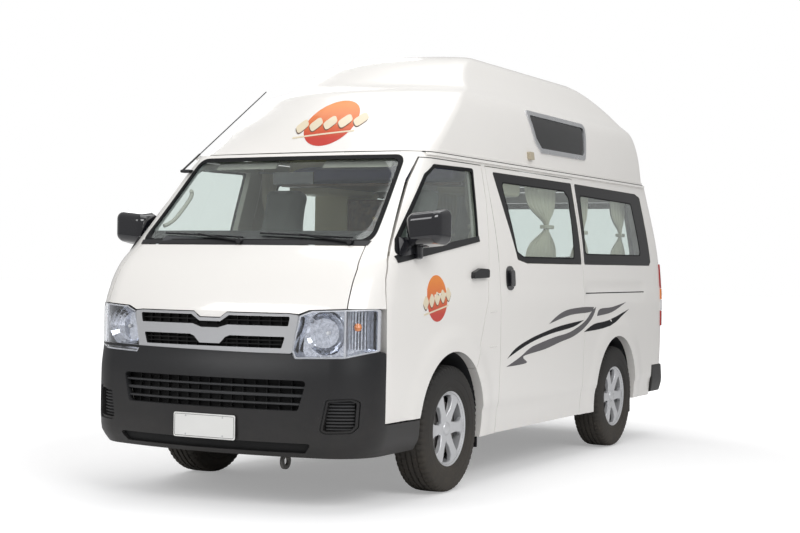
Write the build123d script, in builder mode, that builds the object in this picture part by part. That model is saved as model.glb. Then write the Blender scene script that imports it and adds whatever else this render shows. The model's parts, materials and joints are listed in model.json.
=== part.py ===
from build123d import *
import os

# Cab-over camper van with a fibreglass high top, in millimetres.
# It faces -Y, its left side is +X and Z is up from the ground.
# Lengths along the van are taken from the front axle. The export moves them to the van's middle.

LENGTH = 4695
WHEELBASE = 2570
FRONT_OVERHANG = 1100
FRONT_AXLE_Y = -LENGTH / 2 + FRONT_OVERHANG
REAR_END = LENGTH - FRONT_OVERHANG

WALL = 50
LID_DEPTH = 28
PANE_OUT = 8
PANE_IN = 14
LAMP_DEPTH = 95
DOOR_GAP = 6
CAB_CLEAR = 60
CAB_FRONT = -780
PILLAR_SPLIT = -150
DOOR_IN = 640

AXLE_Z = 338
TRACK_X = 735
TYRE_R = 338
TYRE_WIDTH = 195
BEAD_R = 190
LIP_R = 208
ARCH_R = 392
ARCH_Z = 356
FRONT_ARCH_Y = -15
REAR_ARCH_Y = 2550

ROOF_Z = 1810
FLOOR_TOP = 600
FLOOR_BOTTOM = 560
RAIL_BOTTOM = 480
RAIL_IN = 340
RAIL_OUT = 410
BUMPER_TOP = 765
SKIRT_TOP = 419

# Body sections from the sill to the roof line.
# z, half width, front end, set-back of the front at the side, front corner radius, rear end, rear corner radius
BODY_SECTIONS = [
    (240, 826, -1045, 130, 270, 3520, 100),
    (500, 842, -1058, 135, 270, 3545, 100),
    (760, 847.5, -1060, 135, 270, 3550, 100),
    (960, 847, -1058, 134, 270, 3550, 100),
    (1080, 844, -1002, 115, 255, 3545, 100),
    (1200, 837, -905, 95, 235, 3535, 99),
    (1300, 828, -768, 80, 215, 3524, 98),
    (ROOF_Z, 743, -225, 38, 150, 3430, 90),
]

# Front bumper sections, with the same columns.
BUMPER_SECTIONS = [
    (262, 800, -1052, 130, 250, -150, 20),
    (330, 836, -1086, 140, 260, -150, 20),
    (430, 844, -1094, 145, 270, -150, 20),
    (640, 846, -1090, 145, 270, -150, 20),
    (BUMPER_TOP, 847, -1066, 138, 270, -150, 20),
]

# High top sections from its foot to its crown, with the same columns.
HIGH_TOP_SECTIONS = [
    (ROOF_Z, 722, -215, 70, 230, 3425, 110),
    (1990, 692, -236, 130, 400, 3390, 150),
    (2120, 662, -215, 140, 470, 3300, 190),
    (2215, 600, -90, 120, 440, 3205, 210),
    (2340, 495, 200, 90, 360, 3020, 220),
    (2450, 420, 720, 60, 300, 2830, 200),
    (2495, 270, 1050, 30, 180, 2640, 150),
]

# Side outlines as y, z.
FRONT_DOOR = [(-772, 425), (-772, 1040), (-750, 1135), (-700, 1229), (-322, 1645), (-188, 1774), (512, 1774),
              (509, 1579), (445, 1185), (421, 1019), (361, 881), (279, 681), (100, 425)]
FRONT_DOOR_WINDOW = [(-601, 1243), (-630, 1270), (-590, 1332), (-209, 1682), (-95, 1738), (385, 1744), (326, 1345)]
SLIDING_DOOR = [(592, 262), (592, 1190), (560, 1774), (1915, 1774), (1915, 262)]
SLIDING_WINDOW = [(655, 1746), (1888, 1746), (1891, 1225), (1002, 1225), (862, 1246), (748, 1503)]
QUARTER_WINDOW = [(1942, 1746), (3131, 1736), (3222, 1713), (3276, 1254), (3240, 1226), (1938, 1225)]
POP_WINDOW = [(1350, 2165), (2340, 2160), (2235, 1925), (1480, 1920), (1400, 1985)]
REAR_END_CUT = [(3445, 515), (3700, 515), (3700, 1811), (3325, 1811)]
FRONT_END_CUT = [(-1200, BUMPER_TOP), (PILLAR_SPLIT, BUMPER_TOP), (PILLAR_SPLIT, 1811), (-1200, 1811)]

# Front and rear outlines as x, z.
WINDSCREEN = [(-704, 1313), (704, 1313), (640, 1782), (-640, 1782)]
FRONT_LID = [(-683, 1300), (-712, 1180), (-718, 988), (-540, 979), (-486, 958), (-440, 962), (-100, 962), (-60, 934),
             (60, 934), (100, 962), (440, 962), (486, 958), (540, 979), (718, 988), (712, 1180), (683, 1300)]
GRILLE = [(-455, 765), (455, 765), (486, 958), (440, 962), (100, 962), (60, 934), (-60, 934), (-100, 962),
          (-440, 962), (-486, 958)]
HEADLAMP = [(455, 765), (486, 958), (540, 979), (900, 988), (900, 765)]
NOSE_CUT = [(-900, 760), (900, 760), (900, 988), (540, 979), (486, 958), (440, 962), (100, 962), (60, 934),
            (-60, 934), (-100, 962), (-440, 962), (-486, 958), (-540, 979), (-900, 988)]
TAILGATE = [(-706, 545), (706, 545), (716, 1200), (640, 1768), (-640, 1768), (-716, 1200)]
TAILGATE_WINDOW = [(-640, 1240), (640, 1240), (590, 1690), (-590, 1690)]
TAIL_LAMP_Z = (790, 1240)


def section(row, inset):
    """One level outline: bowed front, straight sides and rounded corners."""
    z, half_width, front, set_back, front_radius, rear, rear_radius = row
    side = half_width - inset
    nose = front + inset
    tail = rear - inset
    with BuildSketch() as sketch:
        with BuildLine():
            bow = ThreePointArc((-side, nose + set_back), (0, nose), (side, nose + set_back))
            Polyline(bow @ 1, (side, tail), (-side, tail), bow @ 0)
        make_face()
        by_length = sketch.vertices().sort_by(Axis.Y)
        fillet(by_length[:2], front_radius - inset)
        fillet(by_length[-2:], max(rear_radius - inset, 8))
    return sketch.sketch


def loft_body(rows, inset=0.0, drop=0.0):
    """Ruled loft through level sections, drawn in by inset and lowered by drop."""
    with BuildPart() as body:
        for row in rows:
            with BuildSketch(Plane.XY.offset(row[0] - drop)):
                add(section(row, inset))
        loft(ruled=True)
    return body.part


def side_prism(outline, x_from, x_to, inset=0.0, radius=0.0):
    """A side outline of y, z points, swept across the van."""
    with BuildPart() as prism:
        with BuildSketch(Plane.YZ.offset(x_from)) as sketch:
            with BuildLine():
                Polyline(*outline, close=True)
            make_face()
            if inset:
                offset(amount=-inset, kind=Kind.INTERSECTION)
            if radius:
                fillet(sketch.vertices(), radius)
        extrude(amount=x_to - x_from)
    return prism.part


def front_prism(outline, y_from, y_to, inset=0.0, radius=0.0):
    """A front outline of x, z points, swept along the van."""
    with BuildPart() as prism:
        with BuildSketch(Plane.XZ.offset(-y_from)) as sketch:
            with BuildLine():
                Polyline(*outline, close=True)
            make_face()
            if inset:
                offset(amount=-inset, kind=Kind.INTERSECTION)
            if radius:
                fillet(sketch.vertices(), radius)
        extrude(amount=-(y_to - y_from))
    return prism.part


def block(x_from, x_to, y_from, y_to, z_from, z_to):
    """A box between three pairs of limits."""
    middle = ((x_from + x_to) / 2, (y_from + y_to) / 2, (z_from + z_to) / 2)
    with BuildPart() as box:
        with Locations(middle):
            Box(x_to - x_from, y_to - y_from, z_to - z_from)
    return box.part


def rod_x(x_from, x_to, y, z, radius):
    """A round bar across the van."""
    with BuildPart() as rod:
        with BuildSketch(Plane.YZ.offset(x_from)):
            with Locations((y, z)):
                Circle(radius)
        extrude(amount=x_to - x_from)
    return rod.part


def mirrored(part):
    """The same piece on the other side of the van."""
    with BuildPart() as other:
        add(mirror(part, about=Plane.YZ))
    return other.part


pieces = {}

outer = loft_body(BODY_SECTIONS)
inner = loft_body(BODY_SECTIONS, WALL)
cab_space = loft_body(BODY_SECTIONS, CAB_CLEAR)

with BuildPart() as ring:
    add(outer)
    add(inner, mode=Mode.SUBTRACT)

with BuildPart() as pane_ring:
    add(loft_body(BODY_SECTIONS, PANE_OUT))
    add(loft_body(BODY_SECTIONS, PANE_IN), mode=Mode.SUBTRACT)

front_arch = rod_x(-900, 900, FRONT_ARCH_Y, ARCH_Z, ARCH_R)
rear_arch = rod_x(-900, 900, REAR_ARCH_Y, ARCH_Z, ARCH_R)
windscreen_prism = front_prism(WINDSCREEN, -1200, -120, radius=70)

# Front end: panel with pillars, lid, grille and lamps.
with BuildPart() as front_panel:
    add(ring.part)
    add(side_prism(FRONT_END_CUT, -900, 900), mode=Mode.INTERSECT)
    add(front_prism(NOSE_CUT, -1200, -700), mode=Mode.SUBTRACT)
    add(front_prism(FRONT_LID, -1200, -600), mode=Mode.SUBTRACT)
    add(windscreen_prism, mode=Mode.SUBTRACT)
    add(side_prism(FRONT_DOOR, DOOR_IN, 900), mode=Mode.SUBTRACT)
    add(side_prism(FRONT_DOOR, -900, -DOOR_IN), mode=Mode.SUBTRACT)
pieces["front_panel"] = front_panel.part

with BuildPart() as front_lid:
    add(outer)
    add(front_prism(FRONT_LID, -1200, -600, inset=5), mode=Mode.INTERSECT)
    add(loft_body(BODY_SECTIONS, LID_DEPTH), mode=Mode.SUBTRACT)
pieces["front_lid"] = front_lid.part

with BuildPart() as windscreen:
    add(pane_ring.part)
    add(windscreen_prism, mode=Mode.INTERSECT)
pieces["windscreen"] = windscreen.part

with BuildPart() as nose:
    add(outer)
    add(loft_body(BODY_SECTIONS, LAMP_DEPTH), mode=Mode.SUBTRACT)
    add(block(-900, 900, -1200, CAB_FRONT, BUMPER_TOP, 1000), mode=Mode.INTERSECT)

with BuildPart() as left_headlamp:
    add(nose.part)
    add(front_prism(HEADLAMP, -1200, -700), mode=Mode.INTERSECT)

with BuildPart() as headlamps:
    add(left_headlamp.part)
    add(mirror(left_headlamp.part, about=Plane.YZ))
pieces["headlamps"] = headlamps.part

with BuildPart() as grille:
    add(outer)
    add(loft_body(BODY_SECTIONS, 45), mode=Mode.SUBTRACT)
    add(front_prism(GRILLE, -1200, -900), mode=Mode.INTERSECT)
    # half width at the foot, half width at the top, z from, z to
    for foot, top, z_from, z_to in [(396, 404, 782, 842), (412, 424, 862, 922)]:
        add(front_prism([(-foot, z_from), (foot, z_from), (top, z_to), (-top, z_to)], -1200, -900, radius=8),
            mode=Mode.SUBTRACT)
pieces["grille"] = grille.part

with BuildPart() as bulkhead:
    add(loft_body(BODY_SECTIONS, LAMP_DEPTH))
    add(block(-900, 900, -1000, -880, FLOOR_BOTTOM, 990), mode=Mode.INTERSECT)

# Front bumper with its side skirts ahead of the wheels.
bumper_side = [(-1200, 200), (-380, 200), (-380, SKIRT_TOP), (CAB_FRONT, SKIRT_TOP), (CAB_FRONT, BUMPER_TOP),
               (-1200, BUMPER_TOP)]
with BuildPart() as front_bumper:
    add(loft_body(BUMPER_SECTIONS))
    add(loft_body(BUMPER_SECTIONS, 40), mode=Mode.SUBTRACT)
    add(side_prism(bumper_side, -900, 900), mode=Mode.INTERSECT)
    # half width at the foot, half width at the top, z from, z to
    for foot, top, z_from, z_to in [(497, 508, 497, 533), (511, 522, 547, 585), (525, 537, 599, 637)]:
        add(front_prism([(-foot, z_from), (foot, z_from), (top, z_to), (-top, z_to)], -1200, -900),
            mode=Mode.SUBTRACT)
    add(front_arch, mode=Mode.SUBTRACT)
pieces["front_bumper"] = front_bumper.part

pieces["front_plate"] = block(-183, 183, -FRONT_OVERHANG, -1094, 336, 458)
pieces["radiator"] = block(-300, 300, -960, -900, 330, FLOOR_BOTTOM)

# Sides, doors and glass.
with BuildPart() as left_side:
    add(ring.part)
    add(block(0, 900, PILLAR_SPLIT, 3700, 200, 1900), mode=Mode.INTERSECT)
    add(side_prism(REAR_END_CUT, -900, 900), mode=Mode.SUBTRACT)
    add(block(0, 900, 3290, 3700, 200, 515), mode=Mode.SUBTRACT)
    add(side_prism(FRONT_DOOR, DOOR_IN, 900), mode=Mode.SUBTRACT)
    add(front_arch, mode=Mode.SUBTRACT)
    add(rear_arch, mode=Mode.SUBTRACT)
    add(side_prism(QUARTER_WINDOW, 0, 900, radius=20), mode=Mode.SUBTRACT)
    add(block(0, 900, 2700, 3300, 200, 300), mode=Mode.SUBTRACT)

with BuildPart() as right_side:
    add(mirror(left_side.part, about=Plane.YZ))
    add(side_prism(SLIDING_WINDOW, -900, 0, radius=12), mode=Mode.SUBTRACT)
pieces["right_side"] = right_side.part

with BuildPart() as left_side_open:
    add(left_side.part)
    add(side_prism(SLIDING_DOOR, 0, 900), mode=Mode.SUBTRACT)
pieces["left_side"] = left_side_open.part

with BuildPart() as sliding_door:
    add(ring.part)
    add(side_prism(SLIDING_DOOR, 0, 900), mode=Mode.INTERSECT)
    add(side_prism(SLIDING_WINDOW, 0, 900, radius=12), mode=Mode.SUBTRACT)
pieces["sliding_door"] = sliding_door.part

with BuildPart() as side_glass:
    add(pane_ring.part)
    with BuildPart(mode=Mode.PRIVATE) as panes:
        for x_from, x_to in [(0, 900), (-900, 0)]:
            add(side_prism(SLIDING_WINDOW, x_from, x_to, radius=12))
            add(side_prism(QUARTER_WINDOW, x_from, x_to, radius=20))
    add(panes.part, mode=Mode.INTERSECT)
pieces["side_glass"] = side_glass.part

with BuildPart() as left_door:
    add(ring.part)
    add(side_prism(FRONT_DOOR, DOOR_IN, 900, inset=DOOR_GAP), mode=Mode.INTERSECT)
    add(front_arch, mode=Mode.SUBTRACT)
    add(side_prism(FRONT_DOOR_WINDOW, DOOR_IN, 900, radius=12), mode=Mode.SUBTRACT)
pieces["left_door"] = left_door.part
pieces["right_door"] = mirrored(left_door.part)

with BuildPart() as left_door_glass:
    add(pane_ring.part)
    add(side_prism(FRONT_DOOR_WINDOW, DOOR_IN, 900, radius=12), mode=Mode.INTERSECT)
pieces["left_door_glass"] = left_door_glass.part
pieces["right_door_glass"] = mirrored(left_door_glass.part)

with BuildPart() as mirror_foot:
    add(block(815, 870, -480, -444, 1205, 1238))
    add(outer, mode=Mode.SUBTRACT)

with BuildPart() as left_mirror:
    with Locations((934, -462, 1390)):
        Box(202, 100, 178)
    fillet(left_mirror.edges(), 30)
    add(mirror_foot.part)
    add(block(842, 870, -480, -444, 1205, 1330))
pieces["left_mirror"] = left_mirror.part
pieces["right_mirror"] = mirrored(left_mirror.part)

# Rear end: frame, tailgate, lamps and bumper.
tail_lamp_box = block(738, 900, 3452, 3700, *TAIL_LAMP_Z)
with BuildPart() as rear_frame:
    add(ring.part)
    add(side_prism(REAR_END_CUT, -900, 900), mode=Mode.INTERSECT)
    add(front_prism(TAILGATE, 3200, 3700), mode=Mode.SUBTRACT)
    add(tail_lamp_box, mode=Mode.SUBTRACT)
    add(mirror(tail_lamp_box, about=Plane.YZ), mode=Mode.SUBTRACT)
pieces["rear_frame"] = rear_frame.part

with BuildPart() as left_tail_lamp:
    add(ring.part)
    add(tail_lamp_box, mode=Mode.INTERSECT)

with BuildPart() as tail_lamps:
    add(left_tail_lamp.part)
    add(mirror(left_tail_lamp.part, about=Plane.YZ))
pieces["tail_lamps"] = tail_lamps.part

with BuildPart() as tailgate:
    add(ring.part)
    add(block(-900, 900, 3200, 3700, 500, 1800), mode=Mode.INTERSECT)
    add(front_prism(TAILGATE, 3200, 3700, inset=DOOR_GAP), mode=Mode.INTERSECT)
    add(front_prism(TAILGATE_WINDOW, 3200, 3700, radius=40), mode=Mode.SUBTRACT)
pieces["tailgate"] = tailgate.part

with BuildPart() as tailgate_glass:
    add(pane_ring.part)
    add(front_prism(TAILGATE_WINDOW, 3200, 3700, radius=40), mode=Mode.INTERSECT)
pieces["tailgate_glass"] = tailgate_glass.part

with BuildPart() as rear_bumper:
    with BuildSketch(Plane.XY.offset(318)) as plan:
        with Locations((0, (3296 + REAR_END) / 2)):
            Rectangle(1690, REAR_END - 3296)
        fillet(plan.vertices().sort_by(Axis.Y)[-2:], 110)
    extrude(amount=515 - 318)
    with BuildSketch(Plane.XY.offset(318)) as hollow:
        with Locations((0, (3200 + REAR_END - 55) / 2)):
            Rectangle(1590, REAR_END - 55 - 3200)
        fillet(hollow.vertices().sort_by(Axis.Y)[-2:], 70)
    extrude(amount=515 - 318, mode=Mode.SUBTRACT)
pieces["rear_bumper"] = rear_bumper.part

# Roof: fibreglass high top with its windows, and the drip rails.
pop_prism = side_prism(POP_WINDOW, 0, 900, radius=30)
with BuildPart() as high_top:
    add(loft_body(HIGH_TOP_SECTIONS))
    add(loft_body(HIGH_TOP_SECTIONS, 26, 26), mode=Mode.SUBTRACT)
    add(pop_prism, mode=Mode.SUBTRACT)
    add(mirror(pop_prism, about=Plane.YZ), mode=Mode.SUBTRACT)
pieces["high_top"] = high_top.part

with BuildPart() as left_pop_window:
    add(loft_body(HIGH_TOP_SECTIONS, -6, -2))
    add(loft_body(HIGH_TOP_SECTIONS, 14, 14), mode=Mode.SUBTRACT)
    add(pop_prism, mode=Mode.INTERSECT)

with BuildPart() as high_top_windows:
    add(left_pop_window.part)
    add(mirror(left_pop_window.part, about=Plane.YZ))
pieces["high_top_windows"] = high_top_windows.part

with BuildPart() as drip_rails:
    for side in (1, -1):
        rail_x = sorted((side * 743, side * 764))
        add(block(*rail_x, -140, 3330, 1790, 1806))
    add(outer, mode=Mode.SUBTRACT)
pieces["drip_rails"] = drip_rails.part

# Floors.
cab_profile = [(-880, FLOOR_BOTTOM), (-430, FLOOR_BOTTOM), (-430, 820), (400, 820), (400, FLOOR_BOTTOM),
               (440, FLOOR_BOTTOM), (440, 860), (-470, 860), (-470, FLOOR_TOP), (-880, FLOOR_TOP)]
with BuildPart() as cab_floor:
    add(cab_space)
    add(side_prism(cab_profile, -900, 900), mode=Mode.INTERSECT)
    add(bulkhead.part)
pieces["cab_floor"] = cab_floor.part

housing = [(REAR_ARCH_Y - 430, FLOOR_BOTTOM), (REAR_ARCH_Y - 430, 790), (REAR_ARCH_Y + 430, 790),
           (REAR_ARCH_Y + 430, FLOOR_BOTTOM)]
housing_space = [(REAR_ARCH_Y - 412, 500), (REAR_ARCH_Y - 412, 772), (REAR_ARCH_Y + 412, 772), (REAR_ARCH_Y + 412, 500)]
with BuildPart() as floor_pan:
    add(block(-900, 900, 440, 3600, FLOOR_BOTTOM, FLOOR_TOP))
    for x_from, x_to in [(560, 900), (-900, -560)]:
        add(side_prism(housing, x_from, x_to))
    for x_from, x_to in [(578, 900), (-900, -578)]:
        add(side_prism(housing_space, x_from, x_to), mode=Mode.SUBTRACT)
    add(inner, mode=Mode.INTERSECT)
pieces["floor_pan"] = floor_pan.part

# Frame rails with pads for a jack, and a towing eye under the bumper on the end of the left rail.
JACK_Y = (560, 1850)
JACK_Z = 468
EYE_Y = -935
EYE_Z = 232
EYE_R = 21
with BuildPart() as frame_rails:
    for x_from, x_to in [(RAIL_IN, RAIL_OUT), (-RAIL_OUT, -RAIL_IN)]:
        add(block(x_from, x_to, -1000, 3450, RAIL_BOTTOM, FLOOR_BOTTOM))
    for y_from in [-860, 700, 1700, 3250]:
        add(block(-RAIL_IN, RAIL_IN, y_from, y_from + 80, RAIL_BOTTOM, FLOOR_BOTTOM))
    for x_middle in (-375, 375):
        for y_middle in JACK_Y:
            add(block(x_middle - 28, x_middle + 28, y_middle - 40, y_middle + 40, JACK_Z, RAIL_BOTTOM))
    with BuildSketch(Plane.YZ.offset(366)):
        with Locations((EYE_Y, EYE_Z)):
            Circle(40)
        with BuildLine():
            Polyline((EYE_Y - 30, EYE_Z + 26), (-975, RAIL_BOTTOM), (-880, RAIL_BOTTOM), (EYE_Y + 36, EYE_Z), close=True)
        make_face()
        with Locations((EYE_Y, EYE_Z)):
            Circle(EYE_R, mode=Mode.SUBTRACT)
    extrude(amount=16)
pieces["frame_rails"] = frame_rails.part

# Cab inside.
dash_profile = [(-880, 640), (-760, 700), (-640, 900), (-600, 1080), (-640, 1130), (-880, 1170)]
with BuildPart() as dashboard:
    add(loft_body(BODY_SECTIONS, LAMP_DEPTH))
    add(side_prism(dash_profile, -760, 760), mode=Mode.INTERSECT)
pieces["dashboard"] = dashboard.part

wheel_plane = Plane(origin=(-370, -500, 1130), x_dir=(1, 0, 0), z_dir=(0, 0.62, 0.785))
with BuildPart() as steering_wheel:
    with BuildSketch(wheel_plane):
        Circle(196)
        Circle(168, mode=Mode.SUBTRACT)
    extrude(amount=22)
    with BuildSketch(wheel_plane):
        Rectangle(345, 44)
        with Locations((0, -90)):
            Rectangle(50, 165)
    extrude(amount=14)
    with BuildSketch(wheel_plane):
        Circle(34)
    extrude(amount=-210)
    add(dashboard.part, mode=Mode.SUBTRACT)
pieces["steering_wheel"] = steering_wheel.part

seat_base = [(-330, 860), (-330, 990), (-290, 1010), (150, 975), (170, 860)]
seat_back = [(130, 978), (250, 1540), (330, 1530), (330, 1480), (240, 940), (174, 860), (160, 975)]
with BuildPart() as front_seats:
    for x_from, x_to in [(190, 670), (-670, -190)]:
        add(side_prism(seat_base, x_from, x_to))
        add(side_prism(seat_back, x_from + 20, x_to - 20))
pieces["front_seats"] = front_seats.part

with BuildPart() as cabin_mirror:
    with Locations((0, -285, 1665)):
        Box(250, 14, 66)
    add(block(-10, 10, -278, -236, 1655, 1672))
    add(inner, mode=Mode.INTERSECT)
pieces["cabin_mirror"] = cabin_mirror.part

# Camper inside.
pieces["cabinets"] = block(-676, -330, 760, 1980, FLOOR_TOP, 1180)
with BuildPart() as bed_platform:
    add(block(-740, 740, 2080, 3380, 800, 830))
    add(block(-740, 740, 2080, 2105, FLOOR_TOP, 800))
pieces["bed_platform"] = bed_platform.part
with BuildPart() as bed_cushions:
    for x_from, x_to in [(-730, -6), (6, 730)]:
        add(block(x_from, x_to, 2090, 3370, 830, 930))
pieces["bed_cushions"] = bed_cushions.part

# y from, y to of each hanging curtain
CURTAINS = [(450, 560), (640, 900), (1760, 2080), (3000, 3200)]
with BuildPart() as left_curtains:
    for y_from, y_to in CURTAINS:
        add(block(684, 692, y_from, y_to, 1150, 1745))
with BuildPart() as curtains:
    add(left_curtains.part)
    add(mirror(left_curtains.part, about=Plane.YZ))
pieces["curtains"] = curtains.part

with BuildPart() as curtain_rails:
    for x_from, x_to in [(684, 720), (-720, -684)]:
        add(block(x_from, x_to, 445, 3250, 1745, 1757))
    add(inner, mode=Mode.INTERSECT)
pieces["curtain_rails"] = curtain_rails.part

# Outside fittings.
with BuildPart() as antenna:
    add(block(-735, -660, -325, -276, 1695, 1730))
    add(outer, mode=Mode.SUBTRACT)
    with BuildSketch(Plane(origin=(-712, -312, 1720), z_dir=(-0.0284, 0.8597, 0.51))):
        Circle(4)
    extrude(amount=1050)
pieces["antenna"] = antenna.part

with BuildPart() as wipers:
    for x_from, x_to in [(-560, -20), (60, 600)]:
        add(block(x_from, x_to, -770, -700, 1330, 1342))
    add(outer, mode=Mode.SUBTRACT)
    add(loft_body(BODY_SECTIONS, -10), mode=Mode.INTERSECT)
pieces["wipers"] = wipers.part

with BuildPart() as mud_flaps:
    for y, z_top in [(404, FLOOR_BOTTOM), (2968, FLOOR_BOTTOM)]:
        add(block(620, 770, y, y + 12, 190, z_top))
        add(block(-770, -620, y, y + 12, 190, z_top))
pieces["mud_flaps"] = mud_flaps.part

# Running gear.
pieces["engine"] = block(-280, 280, -350, 380, 310, 790)
with BuildPart() as driveline:
    add(block(-130, 130, 380, 900, 300, RAIL_BOTTOM))
    with BuildSketch(Plane.XZ.offset(-900)):
        with Locations((0, AXLE_Z + 20)):
            Circle(35)
    extrude(amount=-(WHEELBASE - 900 - 132))
pieces["driveline"] = driveline.part

# place along the axle, radius
AXLE_PROFILE = [(-775, 30), (-640, 30), (-640, 42), (-150, 42), (-105, 130), (105, 130), (150, 42), (640, 42), (640, 30),
                (775, 30)]
SPRING = [(1950, 460), (2260, 388), (2570, 366), (2880, 388), (3190, 460), (3190, 500), (2880, 432), (2570, 412),
          (2260, 432), (1950, 500)]
with BuildPart() as axle_beam:
    with BuildSketch(Plane.XZ):
        with BuildLine():
            Polyline((-775, 0), *AXLE_PROFILE, (775, 0), close=True)
        make_face()
    revolve(axis=Axis.X)
with BuildPart() as rear_axle:
    add(axle_beam.part.moved(Location((0, WHEELBASE, AXLE_Z))))
    for x_from, x_to in [(500, 560), (-560, -500)]:
        add(side_prism(SPRING, x_from, x_to))
        for y in (1950, 3150):
            add(block(x_from, x_to, y, y + 40, 470, FLOOR_BOTTOM))
pieces["rear_axle"] = rear_axle.part

with BuildPart() as front_suspension:
    add(block(-410, 410, -60, 60, 235, 295))
    for side in (1, -1):
        add(block(*sorted((side * RAIL_IN, side * RAIL_OUT)), -60, 60, 295, RAIL_BOTTOM))
        add(block(*sorted((side * RAIL_OUT, side * 715)), -35, 35, 206, 236))
        add(block(*sorted((side * (RAIL_OUT - 20), side * RAIL_OUT)), -35, 35, 206, 236))
        add(block(*sorted((side * RAIL_OUT, side * 715)), -30, 30, 448, 472))
pieces["front_suspension"] = front_suspension.part

with BuildPart() as left_knuckle:
    add(block(662, 718, -35, 35, 242, 442))
    add(rod_x(718, 775, 0, AXLE_Z, 30))
pieces["left_knuckle"] = left_knuckle.part
pieces["right_knuckle"] = mirrored(left_knuckle.part)

with BuildPart() as exhaust:
    add(block(-330, -130, 1150, 1650, 330, RAIL_BOTTOM))
    with BuildSketch(Plane.XZ.offset(-1650)):
        with Locations((-437, 440)):
            Circle(26)
    extrude(amount=-(3480 - 1650))
    add(block(-450, -330, 1600, 1650, 400, 470))
pieces["exhaust"] = exhaust.part

pieces["fuel_tank"] = block(-700, -RAIL_OUT, 900, 1560, 290, 540)


def tyre():
    """A tyre about the X axis."""
    half = TYRE_WIDTH / 2
    with BuildPart() as part:
        with BuildSketch(Plane.XZ):
            with BuildLine():
                Polyline((-half + 22, BEAD_R), (-half, 250), (-half, 290), (-half + 24, TYRE_R - 6), (-half + 45, TYRE_R),
                         (half - 45, TYRE_R), (half - 24, TYRE_R - 6), (half, 290), (half, 250), (half - 22, BEAD_R),
                         close=True)
            make_face()
        revolve(axis=Axis.X)
    return part.part


def rim():
    """A six-spoke wheel about the X axis, with its face to +X."""
    half = TYRE_WIDTH / 2 - 12
    with BuildPart() as part:
        with BuildSketch(Plane.XZ):
            with BuildLine():
                Polyline((-half, BEAD_R + 12), (-half, BEAD_R), (half, BEAD_R), (half, BEAD_R + 12), (half + 8, BEAD_R + 12),
                         (half + 8, BEAD_R - 10), (-half - 8, BEAD_R - 10), (-half - 8, BEAD_R + 12), close=True)
            make_face()
        revolve(axis=Axis.X)
        with BuildSketch(Plane.YZ.offset(45)):
            Circle(BEAD_R - 9)
            Circle(36, mode=Mode.SUBTRACT)
            with PolarLocations(112, 6, start_angle=30):
                Rectangle(92, 58, mode=Mode.SUBTRACT)
        extrude(amount=26)
    return part.part


tyre_part = tyre()
rim_part = rim()
for label, y in [("front", 0), ("rear", WHEELBASE)]:
    for side, sign in [("left", 1), ("right", -1)]:
        tyre_here = tyre_part if sign > 0 else mirrored(tyre_part)
        rim_here = rim_part if sign > 0 else mirrored(rim_part)
        place = Location((sign * TRACK_X, y, AXLE_Z))
        pieces[f"{label}_{side}_tyre"] = tyre_here.moved(place)
        pieces[f"{label}_{side}_rim"] = rim_here.moved(place)

with BuildPart() as spare_wheel:
    with BuildSketch(Plane.XY.offset(RAIL_BOTTOM - 185)):
        with Locations((0, 3090)):
            Circle(335)
    extrude(amount=185)
pieces["spare_wheel"] = spare_wheel.part

os.makedirs("parts", exist_ok=True)
for name, piece in pieces.items():
    solid = piece.moved(Location((0, FRONT_AXLE_Y, 0)))
    solid.label = name
    export_step(solid, f"parts/{name}.step")
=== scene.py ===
import json
import math

import bmesh
import bpy
from bpy.props import FloatProperty, FloatVectorProperty, IntProperty, PointerProperty
from mathutils import Matrix, Vector


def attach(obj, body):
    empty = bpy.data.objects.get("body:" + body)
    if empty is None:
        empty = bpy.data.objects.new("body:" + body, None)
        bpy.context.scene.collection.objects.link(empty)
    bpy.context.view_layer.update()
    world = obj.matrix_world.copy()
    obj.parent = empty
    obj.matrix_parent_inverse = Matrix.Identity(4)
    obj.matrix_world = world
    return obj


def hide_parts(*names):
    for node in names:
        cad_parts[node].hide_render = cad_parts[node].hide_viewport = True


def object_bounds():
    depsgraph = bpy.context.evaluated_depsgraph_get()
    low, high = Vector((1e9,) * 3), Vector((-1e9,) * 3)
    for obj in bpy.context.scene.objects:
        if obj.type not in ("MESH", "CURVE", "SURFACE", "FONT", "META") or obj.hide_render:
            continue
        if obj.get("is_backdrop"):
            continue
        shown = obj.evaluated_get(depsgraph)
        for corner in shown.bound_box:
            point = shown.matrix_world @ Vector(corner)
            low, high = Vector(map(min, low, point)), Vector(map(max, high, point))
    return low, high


bl_info = {
    "name": "High-top camper van",
    "version": (1, 0, 0),
    "blender": (4, 5, 0),
    "location": "3D View > Sidebar > Camper",
    "description": "Dresses the camper van's frame with panels, glass, trim, wheels, lamps and its inside",
    "category": "Object",
}

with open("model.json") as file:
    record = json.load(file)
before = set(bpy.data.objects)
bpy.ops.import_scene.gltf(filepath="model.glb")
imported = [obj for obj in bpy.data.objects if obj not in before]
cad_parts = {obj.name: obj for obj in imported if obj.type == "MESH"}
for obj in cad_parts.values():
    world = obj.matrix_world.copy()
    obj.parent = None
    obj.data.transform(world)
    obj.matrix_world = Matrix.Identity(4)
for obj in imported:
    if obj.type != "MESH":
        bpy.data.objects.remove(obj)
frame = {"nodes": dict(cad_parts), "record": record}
CAD_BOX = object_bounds()

# The tables of outlines and level sections are in millimetres. Everything else is in metres.
# In both, lengths along the van are taken from the front axle.
AXLE_Y = -1.2475
AXLE_Z = 0.338
WHEELBASE = 2.57
HALF_TRACK = 0.735

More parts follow.
